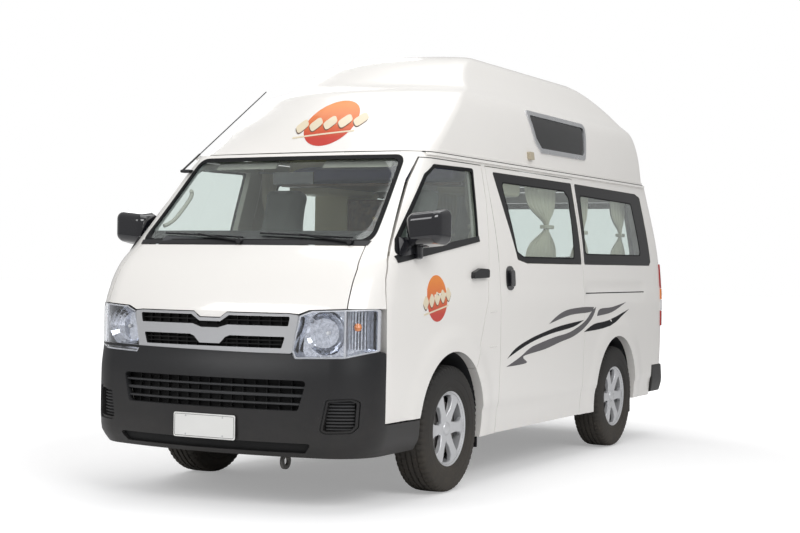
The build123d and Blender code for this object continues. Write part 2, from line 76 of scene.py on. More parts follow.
# z, half width, front end, set-back of the front at the side, front corner radius, rear end, rear corner radius
BODY = [
    (240, 826, -1045, 130, 270, 3520, 100),
    (500, 842, -1058, 135, 270, 3545, 100),
    (760, 847.5, -1060, 135, 270, 3550, 100),
    (960, 847, -1058, 134, 270, 3550, 100),
    (1080, 844, -1002, 115, 255, 3545, 100),
    (1200, 837, -905, 95, 235, 3535, 99),
    (1300, 828, -768, 80, 215, 3524, 98),
    (1810, 743, -225, 38, 150, 3430, 90),
]
BUMPER = [
    (262, 800, -1052, 130, 250, 3000, 20),
    (330, 836, -1086, 140, 260, 3000, 20),
    (430, 844, -1094, 145, 270, 3000, 20),
    (640, 846, -1090, 145, 270, 3000, 20),
    (765, 847, -1066, 138, 270, 3000, 20),
]
HIGH_TOP = [
    (1810, 722, -215, 60, 190, 3428, 80),
    (1990, 698, -60, 225, 150, 3426, 80),
    (2120, 668, 100, 255, 140, 3415, 90),
    (2185, 638, 190, 258, 150, 3400, 100),
    (2230, 590, 360, 230, 160, 3380, 120),
    (2300, 532, 480, 200, 160, 3340, 150),
    (2400, 465, 670, 170, 160, 3150, 190),
    (2450, 428, 830, 150, 150, 2950, 190),
    (2480, 370, 1010, 110, 130, 2820, 170),
    (2495, 270, 1220, 60, 100, 2650, 140),
]

# Side outlines as y, z.
FRONT_DOOR = [(-772, 425), (-772, 1040), (-750, 1135), (-700, 1229), (-322, 1645), (-188, 1774), (512, 1774),
              (509, 1579), (445, 1185), (421, 1019), (361, 881), (279, 681), (100, 425)]
FRONT_DOOR_WINDOW = [(-601, 1243), (-630, 1270), (-590, 1332), (-209, 1682), (-95, 1738), (385, 1744), (326, 1345)]
SLIDING_DOOR = [(592, 262), (592, 1190), (560, 1774), (1915, 1774), (1915, 262)]
SLIDING_WINDOW = [(655, 1746), (1888, 1746), (1891, 1225), (1002, 1225), (862, 1246), (748, 1503)]
SLIDING_CLEAR = [(763, 1693), (1745, 1691), (1812, 1650), (1775, 1262), (955, 1262), (865, 1290)]
QUARTER_WINDOW = [(1942, 1746), (3131, 1736), (3222, 1713), (3276, 1254), (3240, 1226), (1938, 1225)]
QUARTER_CLEAR = [(2015, 1674), (3012, 1662), (3072, 1296), (1975, 1292)]
POP_WINDOW = [(1350, 2165), (2340, 2160), (2235, 1925), (1480, 1920), (1400, 1985)]

# Front and rear outlines as x, z.
WINDSCREEN = [(-704, 1313), (704, 1313), (640, 1782), (-640, 1782)]
FRONT_LID = [(-683, 1300), (-712, 1180), (-718, 988), (-540, 979), (-486, 958), (-440, 962), (-100, 962), (-60, 934),
             (60, 934), (100, 962), (440, 962), (486, 958), (540, 979), (718, 988), (712, 1180), (683, 1300)]
TAILGATE = [(-706, 545), (706, 545), (716, 1200), (640, 1768), (-640, 1768), (-716, 1200)]
TAILGATE_WINDOW = [(-640, 1240), (640, 1240), (590, 1690), (-590, 1690)]

LEFT, RIGHT = 1, -1
SIDES = ((LEFT, "left"), (RIGHT, "right"))


def length(name, description, default, least, most):
    """A length that a user may change."""
    return FloatProperty(name=name, description=description, default=default, min=least, max=most, unit="LENGTH")


def colour(name, description, default):
    """A colour that a user may change."""
    return FloatVectorProperty(name=name, description=description, subtype="COLOR", size=3, min=0, max=1,
                               default=default)


class VanSizes(bpy.types.PropertyGroup):
    """Sizes that a user may change before the pieces are made."""

    panel_gap: length("Panel gap", "Width of the gaps round doors and lids", 0.005, 0.002, 0.012)
    panel_edge: length("Panel edge", "Radius of the panels' folded edges", 0.0022, 0.0005, 0.005)
    seal_width: length("Seal width", "Width of the rubber round the windows", 0.013, 0.006, 0.03)
    tread_depth: length("Tread depth", "Depth of the tyres' grooves", 0.008, 0.002, 0.012)
    tread_blocks: IntProperty(name="Tread blocks", description="Blocks round each tyre's shoulder", default=60,
                              min=24, max=90)


class VanColours(bpy.types.PropertyGroup):
    """Colours that a user may change before the materials are made."""

    paint: colour("Paint", "Body colour", (0.90, 0.878, 0.845))
    stripe_dark: colour("Dark stripe", "Dark stripes", (0.012, 0.012, 0.014))
    stripe_grey: colour("Grey stripe", "Grey stripes", (0.13, 0.125, 0.13))
    disc_top: colour("Disc top", "Upper colour of the round decals", (0.84, 0.25, 0.03))
    disc_foot: colour("Disc foot", "Lower colour of the round decals", (0.56, 0.045, 0.03))


def smooth_slopes(xs, ys):
    """Slopes of a curve through the points that never overshoots them."""
    width = [b - a for a, b in zip(xs, xs[1:])]
    rise = [(b - a) / w for a, b, w in zip(ys, ys[1:], width)]
    out = [rise[0]]
    for i in range(1, len(rise)):
        if rise[i - 1] * rise[i] <= 0:
            out.append(0.0)
            continue
        first = 2 * width[i] + width[i - 1]
        second = width[i] + 2 * width[i - 1]
        out.append((first + second) / (first / rise[i - 1] + second / rise[i]))
    out.append(rise[-1])
    return out


def curve_at(xs, ys, slopes, x):
    """Height of that curve at x."""
    x = min(max(x, xs[0]), xs[-1])
    i = 0
    while i < len(xs) - 2 and xs[i + 1] < x:
        i += 1
    w = xs[i + 1] - xs[i]
    t = (x - xs[i]) / w
    return ((1 + 2 * t) * (1 - t) ** 2 * ys[i] + t * (1 - t) ** 2 * w * slopes[i]
            + t * t * (3 - 2 * t) * ys[i + 1] + t * t * (t - 1) * w * slopes[i + 1])


def step(x, low, high):
    """0 below low, 1 above high and smooth between them."""
    t = min(max((x - low) / (high - low), 0), 1)
    return t * t * (3 - 2 * t)


class Hull:
    """A shape given by level sections.

    u runs round a section from the front middle: 0 to 1 the bowed front, 1 to 2 the front corner,
    2 to 3 the side, 3 to 4 the rear corner and 4 to 5 the rear. On the right side it is negative,
    or goes on from 5 to 10 for a piece that runs across the rear.
    """

    # The least radii of the corners, and how deep the pressed lines reach.
    least_corner, least_rear_corner, relief_depth = 0.004, 0.008, 0.004

    def __init__(self, rows, relief=None):
        self.zs = [r[0] / 1000 for r in rows]
        self.columns = [[r[i] / 1000 for r in rows] for i in range(1, 7)]
        self.slopes = [smooth_slopes(self.zs, c) for c in self.columns]
        self.relief = relief
        self.known = {}

    def shape(self, z, inset=0.0):
        key = (round(z, 5), round(inset, 5))
        if key not in self.known:
            half, front, back, corner, rear, rear_corner = [
                curve_at(self.zs, c, s, z) for c, s in zip(self.columns, self.slopes)]
            half, nose, tail = half - inset, front + inset, rear - inset
            r = max(corner - inset, self.least_corner)
            q = max(rear_corner - inset, self.least_rear_corner)
            bow = (half * half + back * back) / (2 * back)
            cy = nose + bow - math.sqrt((bow - r) ** 2 - (half - r) ** 2)
            turn = math.atan2(half - r, nose + bow - cy)
            self.known[key] = (half, nose, tail, r, q, bow, cy, turn)
        return self.known[key]

    def point(self, u, z, inset=0.0):
        half, nose, tail, r, q, bow, cy, turn = self.shape(z, inset)
        side = 1 if 0 <= u <= 5 else -1
        u = 10 - u if u > 5 else abs(u)
        if u < 1:
            a = u * turn
            x, y = bow * math.sin(a), nose + bow * (1 - math.cos(a))
        elif u < 2:
            a = turn + (u - 1) * (math.pi / 2 - turn)
            x, y = half - r + r * math.sin(a), cy - r * math.cos(a)
        elif u < 3:
            x, y = half, cy + (u - 2) * (tail - q - cy)
        elif u < 4:
            a = (u - 3) * math.pi / 2
            x, y = half - q + q * math.cos(a), tail - q + q * math.sin(a)
        else:
            x, y = (half - q) * (5 - u), tail
        if self.relief and inset < self.relief_depth:
            x += self.relief(y, z) * step(u, 1.4, 1.9) * (1 - step(u, 3, 3.6))
        return Vector((side * x, y + AXLE_Y, z))

    def from_front(self, x, z):
        """u of the point at x on the front half."""
        half, nose, tail, r, q, bow, cy, turn = self.shape(z)
        side = 1 if x >= 0 else -1
        x = abs(x)
        if x <= bow * math.sin(turn):
            return side * math.asin(x / bow) / turn
        a = math.asin(min((x - half + r) / r, 1))
        return side * (1 + (a - turn) / (math.pi / 2 - turn))

    def from_side(self, y, z):
        """u of the point at y on the left side."""
        half, nose, tail, r, q, bow, cy, turn = self.shape(z)
        if y > tail - q:
            return 3 + math.asin(min((y - tail + q) / q, 1)) / (math.pi / 2)
        if y >= cy:
            return 2 + (y - cy) / (tail - q - cy)
        a = math.acos(min((cy - y) / r, 1))
        return 1 + max(a - turn, 0) / (math.pi / 2 - turn)

    def from_rear(self, x, z):
        """u of the point at x on the rear half."""
        half, nose, tail, r, q, bow, cy, turn = self.shape(z)
        near = x >= 0
        x = abs(x)
        if x <= half - q:
            u = 5 - x / (half - q)
        else:
            u = 3 + math.acos(min((x - half + q) / q, 1)) / (math.pi / 2)
        return u if near else 10 - u


def side_relief(y, z):
    """How far the sides' wheel arches, waist line, sill and rail panel stand out or in."""
    out = 0.0
    for centre, tall in ((-0.015, 0.009), (2.55, 0.006)):
        arch_edge = math.hypot(y - centre, z - 0.357)
        out += tall * (1 - step(arch_edge, 0.485, 0.525))
    out -= 0.0035 * step(z, 1.058, 1.070)
    out -= 0.010 * (1 - step(z, 0.40, 0.435))
    if 1.9 < y < 3.2:
        ends = step(y, 1.94, 1.97) * (1 - step(y, 3.07, 3.1))
        out -= 0.006 * ends * step(z, 1.012, 1.020) * (1 - step(z, 1.094, 1.104))
    return out


BODY_HULL = Hull(BODY, side_relief)
BUMPER_HULL = Hull(BUMPER)
TOP_HULL = Hull(HIGH_TOP)


def corners(outline):
    """Each point of a closed outline between its neighbours."""
    count = len(outline)
    return [[Vector(outline[(i + k) % count]) for k in (-1, 0, 1)] for i in range(count)]


def grown(outline, by):
    """The outline moved outward by a distance in the table's unit."""
    area = sum(a[0] * b[1] - b[0] * a[1] for a, b in zip(outline, outline[1:] + outline[:1]))
    turn = 1 if area > 0 else -1
    out = []
    for before, here, after in corners(outline):
        d1 = (here - before).normalized()
        d2 = (after - here).normalized()
        n1 = Vector((d1.y, -d1.x)) * turn
        n2 = Vector((d2.y, -d2.x)) * turn
        mitre = (n1 + n2) / max((1 + n1.dot(n2)), 0.3)
        out.append(tuple(here + mitre * by))
    return out


def rounded(outline, radius, parts=5):
    """The outline with its corners rounded, except where it is nearly straight."""
    nearly_straight = 1.48
    out = []
    for before, here, after in corners(outline):
        d1 = before - here
        d2 = after - here
        half = math.acos(max(min(d1.normalized().dot(d2.normalized()), 1), -1)) / 2
        if half > nearly_straight:
            out.append(tuple(here))
            continue
        reach = min(radius / math.tan(half), d1.length * 0.48, d2.length * 0.48)
        start = here + d1.normalized() * reach
        end = here + d2.normalized() * reach
        for k in range(parts + 1):
            t = k / parts
            out.append(tuple(start * (1 - t) ** 2 + here * 2 * t * (1 - t) + end * t * t))
    return out


def oblong(a, z):
    """An upright rectangle between two pairs of limits."""
    return [(a[0], z[0]), (a[1], z[0]), (a[1], z[1]), (a[0], z[1])]


def mirrored(outline):
    """A front outline on the other side."""
    return [(-x, z) for x, z in reversed(outline)]


def facing(outline, side):
    """A left front outline on either side."""
    return outline if side == LEFT else mirrored(outline)


def across(side, near, far):
    """The limits of a piece across the van, from how far it is from the middle."""
    return sorted((side * near, side * far))


def flowing(points, parts=6):
    """A smooth open line through the points."""
    out = []
    pts = [Vector(p) for p in points]
    for i in range(len(pts) - 1):
        p0, p1, p2, p3 = pts[max(i - 1, 0)], pts[i], pts[i + 1], pts[min(i + 2, len(pts) - 1)]
        for k in range(parts):
            t = k / parts
            out.append(tuple(0.5 * ((2 * p1) + (p2 - p0) * t + (2 * p0 - 5 * p1 + 4 * p2 - p3) * t * t
                                    + (3 * p1 - p0 - 3 * p2 + p3) * t ** 3)))
    out.append(tuple(pts[-1]))
    return out


ARCH_Z = 356


def arch(centre, radius, start, end, parts=28):
    """Points along a wheel arch's edge between two angles in degrees, as y, z."""
    turns = [math.radians(start + (end - start) * k / parts) for k in range(parts + 1)]
    return [(centre + radius * math.cos(t), ARCH_Z + radius * math.sin(t)) for t in turns]


def to_u(hull, view, side, a, z):
    """The hull's u for a table's point, in metres. Far sides are the right side; round is u itself."""
    if view == "front":
        return hull.from_front(a, z)
    if view == "rear":
        return hull.from_rear(a, z)
    if view == "round":
        return a * 1000
    u = hull.from_side(a, z)
    return {"side": side * u, "far": -side * u, "far rear": 10 - u}[view]


def loop_on(hull, loop, view, side, gap):
    """An outline of a, z points, each with or without its own view before it, as u, z."""
    tagged = [p if len(p) == 3 else (view, *p) for p in loop]
    out = []
    for p, q in zip(tagged, tagged[1:] + tagged[:1]):
        parts = max(1, math.ceil(math.dist(p[1:], q[1:]) / gap)) if p[0] == q[0] else 1
        for k in range(parts):
            a = (p[1] + (q[1] - p[1]) * k / parts) / 1000
            z = (p[2] + (q[2] - p[2]) * k / parts) / 1000
            out.append((to_u(hull, p[0], side, a, z), z))
    return out


def grid_lines(low, high, fine):
    """The values of u at which a shell is cut, finer in the corners."""
    bands = [(0, 1, 5), (1, 2, 16 if fine else 8), (2, 3, 90 if fine else 24), (3, 4, 8), (4, 5, 4)]
    lines = set()
    for start, end, parts in bands:
        for k in range(parts + 1):
            lines.add(round(start + (end - start) * k / parts, 5))
    lines |= {-v for v in lines} | {10 - v for v in lines}
    return sorted(v for v in lines if low + 1e-4 < v < high - 1e-4)


def flat_patch(loops, us, zs):
    """A flat mesh of u, z inside the first loop and outside the others, cut along the grid lines."""
    bm = bmesh.new()
    edges = []
    for loop in loops:
        verts = [bm.verts.new((u, 0, z)) for u, z in loop]
        edges += [bm.edges.new((a, b)) for a, b in zip(verts, verts[1:] + verts[:1])]
    bmesh.ops.triangle_fill(bm, edges=edges, use_beauty=True)
    for e in bm.edges:
        e.seam = len(e.link_faces) == 2
    for axis, values in ((0, us), (2, zs)):
        normal = Vector((1, 0, 0)) if axis == 0 else Vector((0, 0, 1))
        for value in values:
            bmesh.ops.bisect_plane(bm, geom=bm.verts[:] + bm.edges[:] + bm.faces[:], dist=1e-6,
                                   plane_co=normal * value, plane_no=normal)
    bmesh.ops.dissolve_edges(bm, edges=[e for e in bm.edges if e.seam and len(e.link_faces) == 2], use_verts=False)
    spare = [v for v in bm.verts if len(v.link_edges) == 2 and not v.is_boundary]
    bmesh.ops.dissolve_verts(bm, verts=spare)
    loose = [v for v in bm.verts if not v.link_faces]
    bmesh.ops.delete(bm, geom=loose, context="VERTS")
    return bm


def span(values):
    """The least and the greatest of the values."""
    values = list(values)
    return min(values), max(values)


def shell(name, outline, holes=(), hull=BODY_HULL, view="side", side=LEFT, inset=(0.0, 0.04), fine=False, edge=0.0,
          z_step=0.03, gap=30):
    """A piece of the hull's skin inside an outline, with a thickness. Slot 0 is the outside, slot 1 the rest."""
    loops = [loop_on(hull, list(loop), view, side, gap) for loop in [outline, *holes]]
    (near, far), (low, high) = [span(p[i] for p in loops[0]) for i in (0, 1)]
    rows = max(1, round((high - low) / z_step))
    flat = flat_patch(loops, grid_lines(near, far, fine), [low + (high - low) * k / rows for k in range(1, rows)])
    hole_boxes = [[span(p[i] for p in hole) for i in (0, 1)] for hole in loops[1:]]
    bm = bmesh.new()
    flat.verts.ensure_lookup_table()
    flat.verts.index_update()
    outer, inner = [[bm.verts.new(hull.point(v.co.x, v.co.z, depth)) for v in flat.verts] for depth in inset]
    rims = []
    for f in flat.faces:
        ids = [v.index for v in f.verts]
        bm.faces.new([outer[i] for i in ids]).material_index = 0
        bm.faces.new([inner[i] for i in reversed(ids)]).material_index = 1
    for e in flat.edges:
        if not e.is_boundary:
            continue
        a, b = (v.index for v in e.verts)
        wall = bm.faces.new([outer[a], outer[b], inner[b], inner[a]])
        mid = (e.verts[0].co + e.verts[1].co) / 2
        in_hole = any(us[0] - 1e-5 <= mid.x <= us[1] + 1e-5 and zs[0] - 1e-5 <= mid.z <= zs[1] + 1e-5
                      for us, zs in hole_boxes)
        wall.material_index = 1 if in_hole else 0
        rims.append(bm.edges.get((outer[a], outer[b])))
    bmesh.ops.recalc_face_normals(bm, faces=bm.faces[:])
    if edge:
        bmesh.ops.bevel(bm, geom=rims, offset=edge, segments=2, profile=0.5, affect="EDGES", clamp_overlap=True)
    flat.free()
    return object_from(name, bm)


def strip(name, y, z, inset, edge=0.0015, **form):
    """A straight band on the hull between two places and two heights."""
    return shell(name, oblong(y, z), inset=inset, edge=edge, **form)


def front_point(x, z, inset):
    """A point on the body's front, in metres."""
    return BODY_HULL.point(BODY_HULL.from_front(x, z), z, inset)


def object_from(name, bm):
    """A new object that holds the mesh."""
    mesh = bpy.data.meshes.new(name)
    bm.to_mesh(mesh)
    bm.free()
    obj = bpy.data.objects.new(name, mesh)
    bpy.context.scene.collection.objects.link(obj)
    return obj


def only(obj):
    """Makes obj the one selected and active object."""
    if bpy.context.mode != "OBJECT":
        bpy.ops.object.mode_set(mode="OBJECT")
    bpy.ops.object.select_all(action="DESELECT")
    obj.hide_set(False)
    obj.select_set(True)
    bpy.context.view_layer.objects.active = obj
    return obj


def settle(obj):
    """Puts the object's place into its mesh."""
    only(obj)
    bpy.ops.object.transform_apply(location=True, rotation=True, scale=True)
    return obj


def add_modifier(obj, kind, **values):
    """Adds a modifier with these values and applies it."""
    only(obj)
    modifier = obj.modifiers.new(kind.title(), kind)
    for key, value in values.items():
        setattr(modifier, key, value)
    bpy.ops.object.modifier_apply(modifier=modifier.name)
    return obj


def bevel(obj, width, segments=2, angle=0.6):
    """Rounds the edges that are sharper than the angle."""
    return add_modifier(obj, "BEVEL", width=width, segments=segments, limit_method="ANGLE", angle_limit=angle)


def plate(name, outline, thickness, plane="XZ", at=0.0):
    """A flat plate with the given outline, extruded towards the positive axis."""
    points = list(outline)
    bpy.ops.object.select_all(action="DESELECT")
    bpy.ops.mesh.primitive_circle_add(vertices=len(points), radius=1, fill_type="NGON")
    obj = bpy.context.active_object
    obj.name = obj.data.name = name
    order = {"XZ": (0, 2, 1), "YZ": (1, 2, 0), "XY": (0, 1, 2)}[plane]
    for v, (a, b) in zip(obj.data.vertices, points):
        co = [0, 0, 0]
        co[order[0]], co[order[1]], co[order[2]] = a, b, at
        v.co = co
    only(obj)
    bpy.ops.object.mode_set(mode="EDIT")
    bpy.ops.mesh.select_all(action="SELECT")
    shift = [0, 0, 0]
    shift[order[2]] = thickness
    bpy.ops.mesh.extrude_region_move(TRANSFORM_OT_translate={"value": shift})
    bpy.ops.mesh.select_all(action="SELECT")
    bpy.ops.mesh.normals_make_consistent(inside=False)
    bpy.ops.object.mode_set(mode="OBJECT")
    return obj


def box(name, x, y, z, edge=0.0, segments=2):
    """A box between pairs of limits, with rounded edges."""
    bpy.ops.object.select_all(action="DESELECT")
    middle = [(a[0] + a[1]) / 2 for a in (x, y, z)]
    bpy.ops.mesh.primitive_cube_add(size=1, location=middle)
    obj = bpy.context.active_object
    obj.name = obj.data.name = name
    obj.scale = [abs(a[1] - a[0]) for a in (x, y, z)]
    settle(obj)
    if edge:
        bevel(obj, edge, segments)
    return obj


def fitted(name, x, y, z, edge=0.0, segments=2):
    """A box whose y is taken from the front axle."""
    return box(name, x, [v + AXLE_Y for v in y], z, edge, segments)


def lathe(name, profile, steps=64, axis="X", centre=(0, 0, 0)):
    """A turned piece. The profile is a closed list of place along the axis and radius."""
    bpy.ops.object.select_all(action="DESELECT")
    bpy.ops.mesh.primitive_circle_add(vertices=len(profile), radius=1, fill_type="NOTHING")
    obj = bpy.context.active_object
    obj.name = obj.data.name = name
    for v, (a, r) in zip(obj.data.vertices, profile):
        v.co = {"X": (a, 0, r), "Y": (0, a, r), "Z": (r, 0, a)}[axis]
    only(obj)
    bpy.ops.object.mode_set(mode="EDIT")
    bpy.ops.mesh.select_all(action="SELECT")
    way = {"X": (1, 0, 0), "Y": (0, 1, 0), "Z": (0, 0, 1)}[axis]
    bpy.ops.mesh.spin(steps=steps, dupli=False, angle=math.tau, center=(0, 0, 0), axis=way)
    bpy.ops.mesh.select_all(action="SELECT")
    bpy.ops.mesh.remove_doubles(threshold=0.00003)
    bpy.ops.mesh.normals_make_consistent(inside=False)
    bpy.ops.object.mode_set(mode="OBJECT")
    obj.data.transform(Matrix.Translation(centre))
    return obj


def tube(name, points, radius, sides=12, closed=False):
    """A round bar along a smooth line through the points."""
    data = bpy.data.curves.new(name, "CURVE")
    data.dimensions = "3D"
    spline = data.splines.new("NURBS")
    spline.points.add(len(points) - 1)
    for p, co in zip(spline.points, points):
        p.co = (*co, 1)
    spline.order_u = 3
    spline.use_endpoint_u = not closed
    spline.use_cyclic_u = closed
    data.bevel_depth = radius
    data.bevel_resolution = max(1, sides // 4 - 1)
    data.resolution_u = 6
    data.use_fill_caps = True
    obj = bpy.data.objects.new(name, data)
    bpy.context.scene.collection.objects.link(obj)
    only(obj)
    bpy.ops.object.convert(target="MESH")
    return bpy.context.active_object


def copy_of(obj, name, matrix):
    """A copy with its own mesh, moved by the matrix."""
    new = obj.copy()
    new.data = obj.data.copy()
    new.name = new.data.name = name
    bpy.context.scene.collection.objects.link(new)
    new.data.transform(matrix)
    if matrix.determinant() < 0:
        new.data.flip_normals()
    return new


def joined(name, objects):
    """The objects as one."""
    if bpy.context.mode != "OBJECT":
        bpy.ops.object.mode_set(mode="OBJECT")
    bpy.ops.object.select_all(action="DESELECT")
    for o in objects:
        o.select_set(True)
    bpy.context.view_layer.objects.active = objects[0]
    if len(objects) > 1:
        bpy.ops.object.join()
    obj = bpy.context.active_object
    obj.name = obj.data.name = name
    return obj


def dress(obj, materials, body, stands_for=(), smooth=35):
    """Gives a finished piece its materials and shading and ties it to its body."""
    if not isinstance(materials, (list, tuple)):
        materials = [materials]
    while len(obj.data.materials) > len(materials):
        obj.data.materials.pop()
    for i, m in enumerate(materials):
        if i < len(obj.data.materials):
            obj.data.materials[i] = MATERIALS[m]
        else:
            obj.data.materials.append(MATERIALS[m])
    only(obj)
    if smooth:
        bpy.ops.object.shade_smooth_by_angle(angle=math.radians(smooth))
        add_modifier(obj, "WEIGHTED_NORMAL", mode="FACE_AREA", weight=60, keep_sharp=True)
    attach(obj, body)
    if stands_for:
        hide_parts(*stands_for)
    return obj


def clad(name, outline, finish, slot, body="van_body", stands_for=(), smooth=35, **form):
    """A shell that is dressed at once."""
    return dress(shell(name, outline, **form), finish, body, stands_for, smooth)


def trim(obj, finish, stands_for=(), smooth=35):
    """Dresses a piece of the van's own body."""
    return dress(obj, finish, "van_body", stands_for, smooth)

MATERIALS = {}
GROUPS = {}
# How far the noise moves a finish's roughness.
RIPPLE = 0.06


def feed(tree, target, inputs):
    """Gives inputs their values, or links them where the value is another node's socket."""
    for label, value in dict(inputs).items():
        if isinstance(value, bpy.types.NodeSocket):
            tree.links.new(value, target.inputs[label])
        else:
            target.inputs[label].default_value = value


def node(tree, kind, inputs=(), **settings):
    """A new shader node with its settings and inputs."""
    made = tree.nodes.new(f"ShaderNode{kind}")
    for name, value in settings.items():
        setattr(made, name, value)
    feed(tree, made, inputs)
    return made


def maths(tree, operation, *values):
    """The result of a maths node."""
    return node(tree, "Math", enumerate(values), operation=operation).outputs[0]


def either_ray(tree, *kinds):
    """1 on rays of either kind, 0 on all others."""
    path = node(tree, "LightPath")
    return maths(tree, "MAXIMUM", *[path.outputs[f"Is {kind} Ray"] for kind in kinds])


def ramp(tree, value, *stops):
    """A colour ramp over the value, with the place and the colour of its two stops."""
    made = node(tree, "ValToRGB", {"Fac": value})
    for element, (place, tint) in zip(made.color_ramp.elements, stops):
        element.position = place
        element.color = (*tint, 1)
    return made.outputs["Color"]


def object_coords(tree):
    """Places in the object's own frame."""
    return node(tree, "TexCoord").outputs["Object"]


def new_group(name, inputs, outputs):
    """A shader node group with its inputs' values and its outputs' kinds."""
    group = bpy.data.node_groups.new(name, "ShaderNodeTree")
    for label, value in inputs.items():
        kind = "NodeSocketColor" if isinstance(value, tuple) else "NodeSocketFloat"
        group.interface.new_socket(name=label, in_out="INPUT", socket_type=kind).default_value = value
    for label, kind in outputs.items():
        group.interface.new_socket(name=label, in_out="OUTPUT", socket_type=f"NodeSocket{kind}")
    return group, group.nodes.new("NodeGroupInput").outputs, group.nodes.new("NodeGroupOutput")


def make_tone_group():
    """Slight clouding of a colour, with road dust on the low parts."""
    group, given, out = new_group(
        "Clouded colour",
        {"Colour": (0.8, 0.8, 0.8, 1), "Dust": (0.25, 0.21, 0.16, 1), "Cloud": 0.05, "Scale": 6.0,
         "Dust height": 0.5, "Dust amount": 0.1, "Roughness": 0.4},
        {"Colour": "Color", "Roughness": "Float"})
    coords = object_coords(group)
    noise = node(group, "TexNoise", {"Detail": 5, "Vector": coords, "Scale": given["Scale"]}).outputs["Fac"]
    spread = node(group, "MapRange", {"From Min": 0.3, "From Max": 0.7, "To Min": 1.0, "Value": noise,
                                      "To Max": maths(group, "SUBTRACT", 1.0, given["Cloud"])})
    shade = node(group, "MixRGB", {"Fac": 1, "Color1": given["Colour"], "Color2": spread.outputs["Result"]},
                 blend_type="MULTIPLY")
    height = node(group, "SeparateXYZ", {"Vector": coords}).outputs["Z"]
    low = node(group, "MapRange", {"To Min": 1.0, "To Max": 0.0, "Value": height, "From Max": given["Dust height"]})
    patches = node(group, "TexNoise", {"Scale": 14, "Detail": 8, "Roughness": 0.7, "Vector": coords})
    grit = maths(group, "MULTIPLY", low.outputs["Result"], patches.outputs["Fac"])
    amount = maths(group, "MULTIPLY", grit, given["Dust amount"])
    dusty = node(group, "MixRGB", {"Fac": amount, "Color1": shade.outputs["Color"], "Color2": given["Dust"]})
    rough = maths(group, "MULTIPLY_ADD", amount, 0.5, given["Roughness"])
    feed(group, out, {"Colour": dusty.outputs["Color"],
                      "Roughness": maths(group, "MULTIPLY_ADD", noise, RIPPLE, rough)})
    return group


def make_grain_group():
    """Leathery moulded grain or cast skin, as a normal."""
    group, given, out = new_group("Moulded grain", {"Scale": 400.0, "Depth": 0.3}, {"Normal": "Vector"})
    cells = node(group, "TexVoronoi", {"Vector": object_coords(group), "Scale": given["Scale"]})
    bump = node(group, "Bump", {"Distance": 0.0006, "Strength": given["Depth"],
                                "Height": cells.outputs["Distance"]})
    feed(group, out, {"Normal": bump.outputs["Normal"]})
    return group


def make_weave_group():
    """Crossed threads of cloth: a colour and a height."""
    group, given, out = new_group(
        "Woven threads",
        {"Colour": (0.3, 0.3, 0.3, 1), "Second": (0.2, 0.2, 0.2, 1), "Threads": 350.0, "Blend": 0.5},
        {"Colour": "Color", "Height": "Float"})
    coords = object_coords(group)
    waves = [node(group, "TexWave", {"Distortion": 0.6, "Detail": 1, "Vector": coords, "Scale": given["Threads"]},
                  bands_direction=way) for way in "YZ"]
    cross = maths(group, "MULTIPLY", *[wave.outputs["Fac"] for wave in waves])
    cloud = node(group, "TexNoise", {"Scale": 18, "Vector": coords})
    mix = node(group, "MixRGB", {"Fac": maths(group, "MULTIPLY_ADD", cloud.outputs["Fac"], given["Blend"], cross),
                                 "Color1": given["Colour"], "Color2": given["Second"]})
    feed(group, out, {"Colour": mix.outputs["Color"], "Height": cross})
    return group


def start_material(name, **fixed):
    """A material whose Principled shader has these fixed values."""
    material = bpy.data.materials.new(name)
    material.use_nodes = True
    MATERIALS[name] = material
    shader = material.node_tree.nodes["Principled BSDF"]
    feed(material.node_tree, shader, {label.replace("_", " "): value for label, value in fixed.items()})
    return material.node_tree, shader


def solid_material(name, tint, roughness, cloud=0.06, scale=6.0, dust=0.0, dust_height=0.6, grain=None, **fixed):
    """Paint, plastic, rubber or metal: clouded colour, dust near the road and moulded grain."""
    tree, shader = start_material(name, **fixed)
    tone = node(tree, "Group", {"Colour": (*tint, 1), "Roughness": roughness - RIPPLE / 2, "Cloud": cloud,
                                "Scale": scale, "Dust amount": dust, "Dust height": dust_height},
                node_tree=GROUPS["tone"])
    feed(tree, shader, {"Base Color": tone.outputs["Colour"], "Roughness": tone.outputs["Roughness"]})
    if grain:
        skin = node(tree, "Group", {"Scale": grain[0], "Depth": grain[1]}, node_tree=GROUPS["grain"])
        feed(tree, shader, {"Normal": skin.outputs["Normal"]})


def cloth_material(name, tint, second, threads, bump=0.25):
    """Woven cloth."""
    tree, shader = start_material(name, Sheen_Weight=0.3, Sheen_Roughness=0.5, Roughness=0.85)
    weave = node(tree, "Group", {"Colour": (*tint, 1), "Second": (*second, 1), "Threads": threads},
                 node_tree=GROUPS["weave"])
    raised = node(tree, "Bump", {"Strength": bump, "Distance": 0.001, "Height": weave.outputs["Height"]})
    feed(tree, shader, {"Base Color": weave.outputs["Colour"], "Normal": raised.outputs["Normal"]})


def glass_material(name, tint, roughness=0.0):
    """Clear or tinted glass that lets light on to what is behind it."""
    tree, shader = start_material(name, Base_Color=(*tint, 1), Roughness=roughness, IOR=1.45,
                                  Transmission_Weight=1.0)
    clear = node(tree, "BsdfTransparent", {"Color": (*[c ** 0.8 for c in tint], 1)})
    mix = node(tree, "MixShader", {"Fac": either_ray(tree, "Shadow", "Diffuse"), 1: shader.outputs["BSDF"],
                                   2: clear.outputs["BSDF"]})
    feed(tree, tree.nodes["Material Output"], {"Surface": mix.outputs["Shader"]})


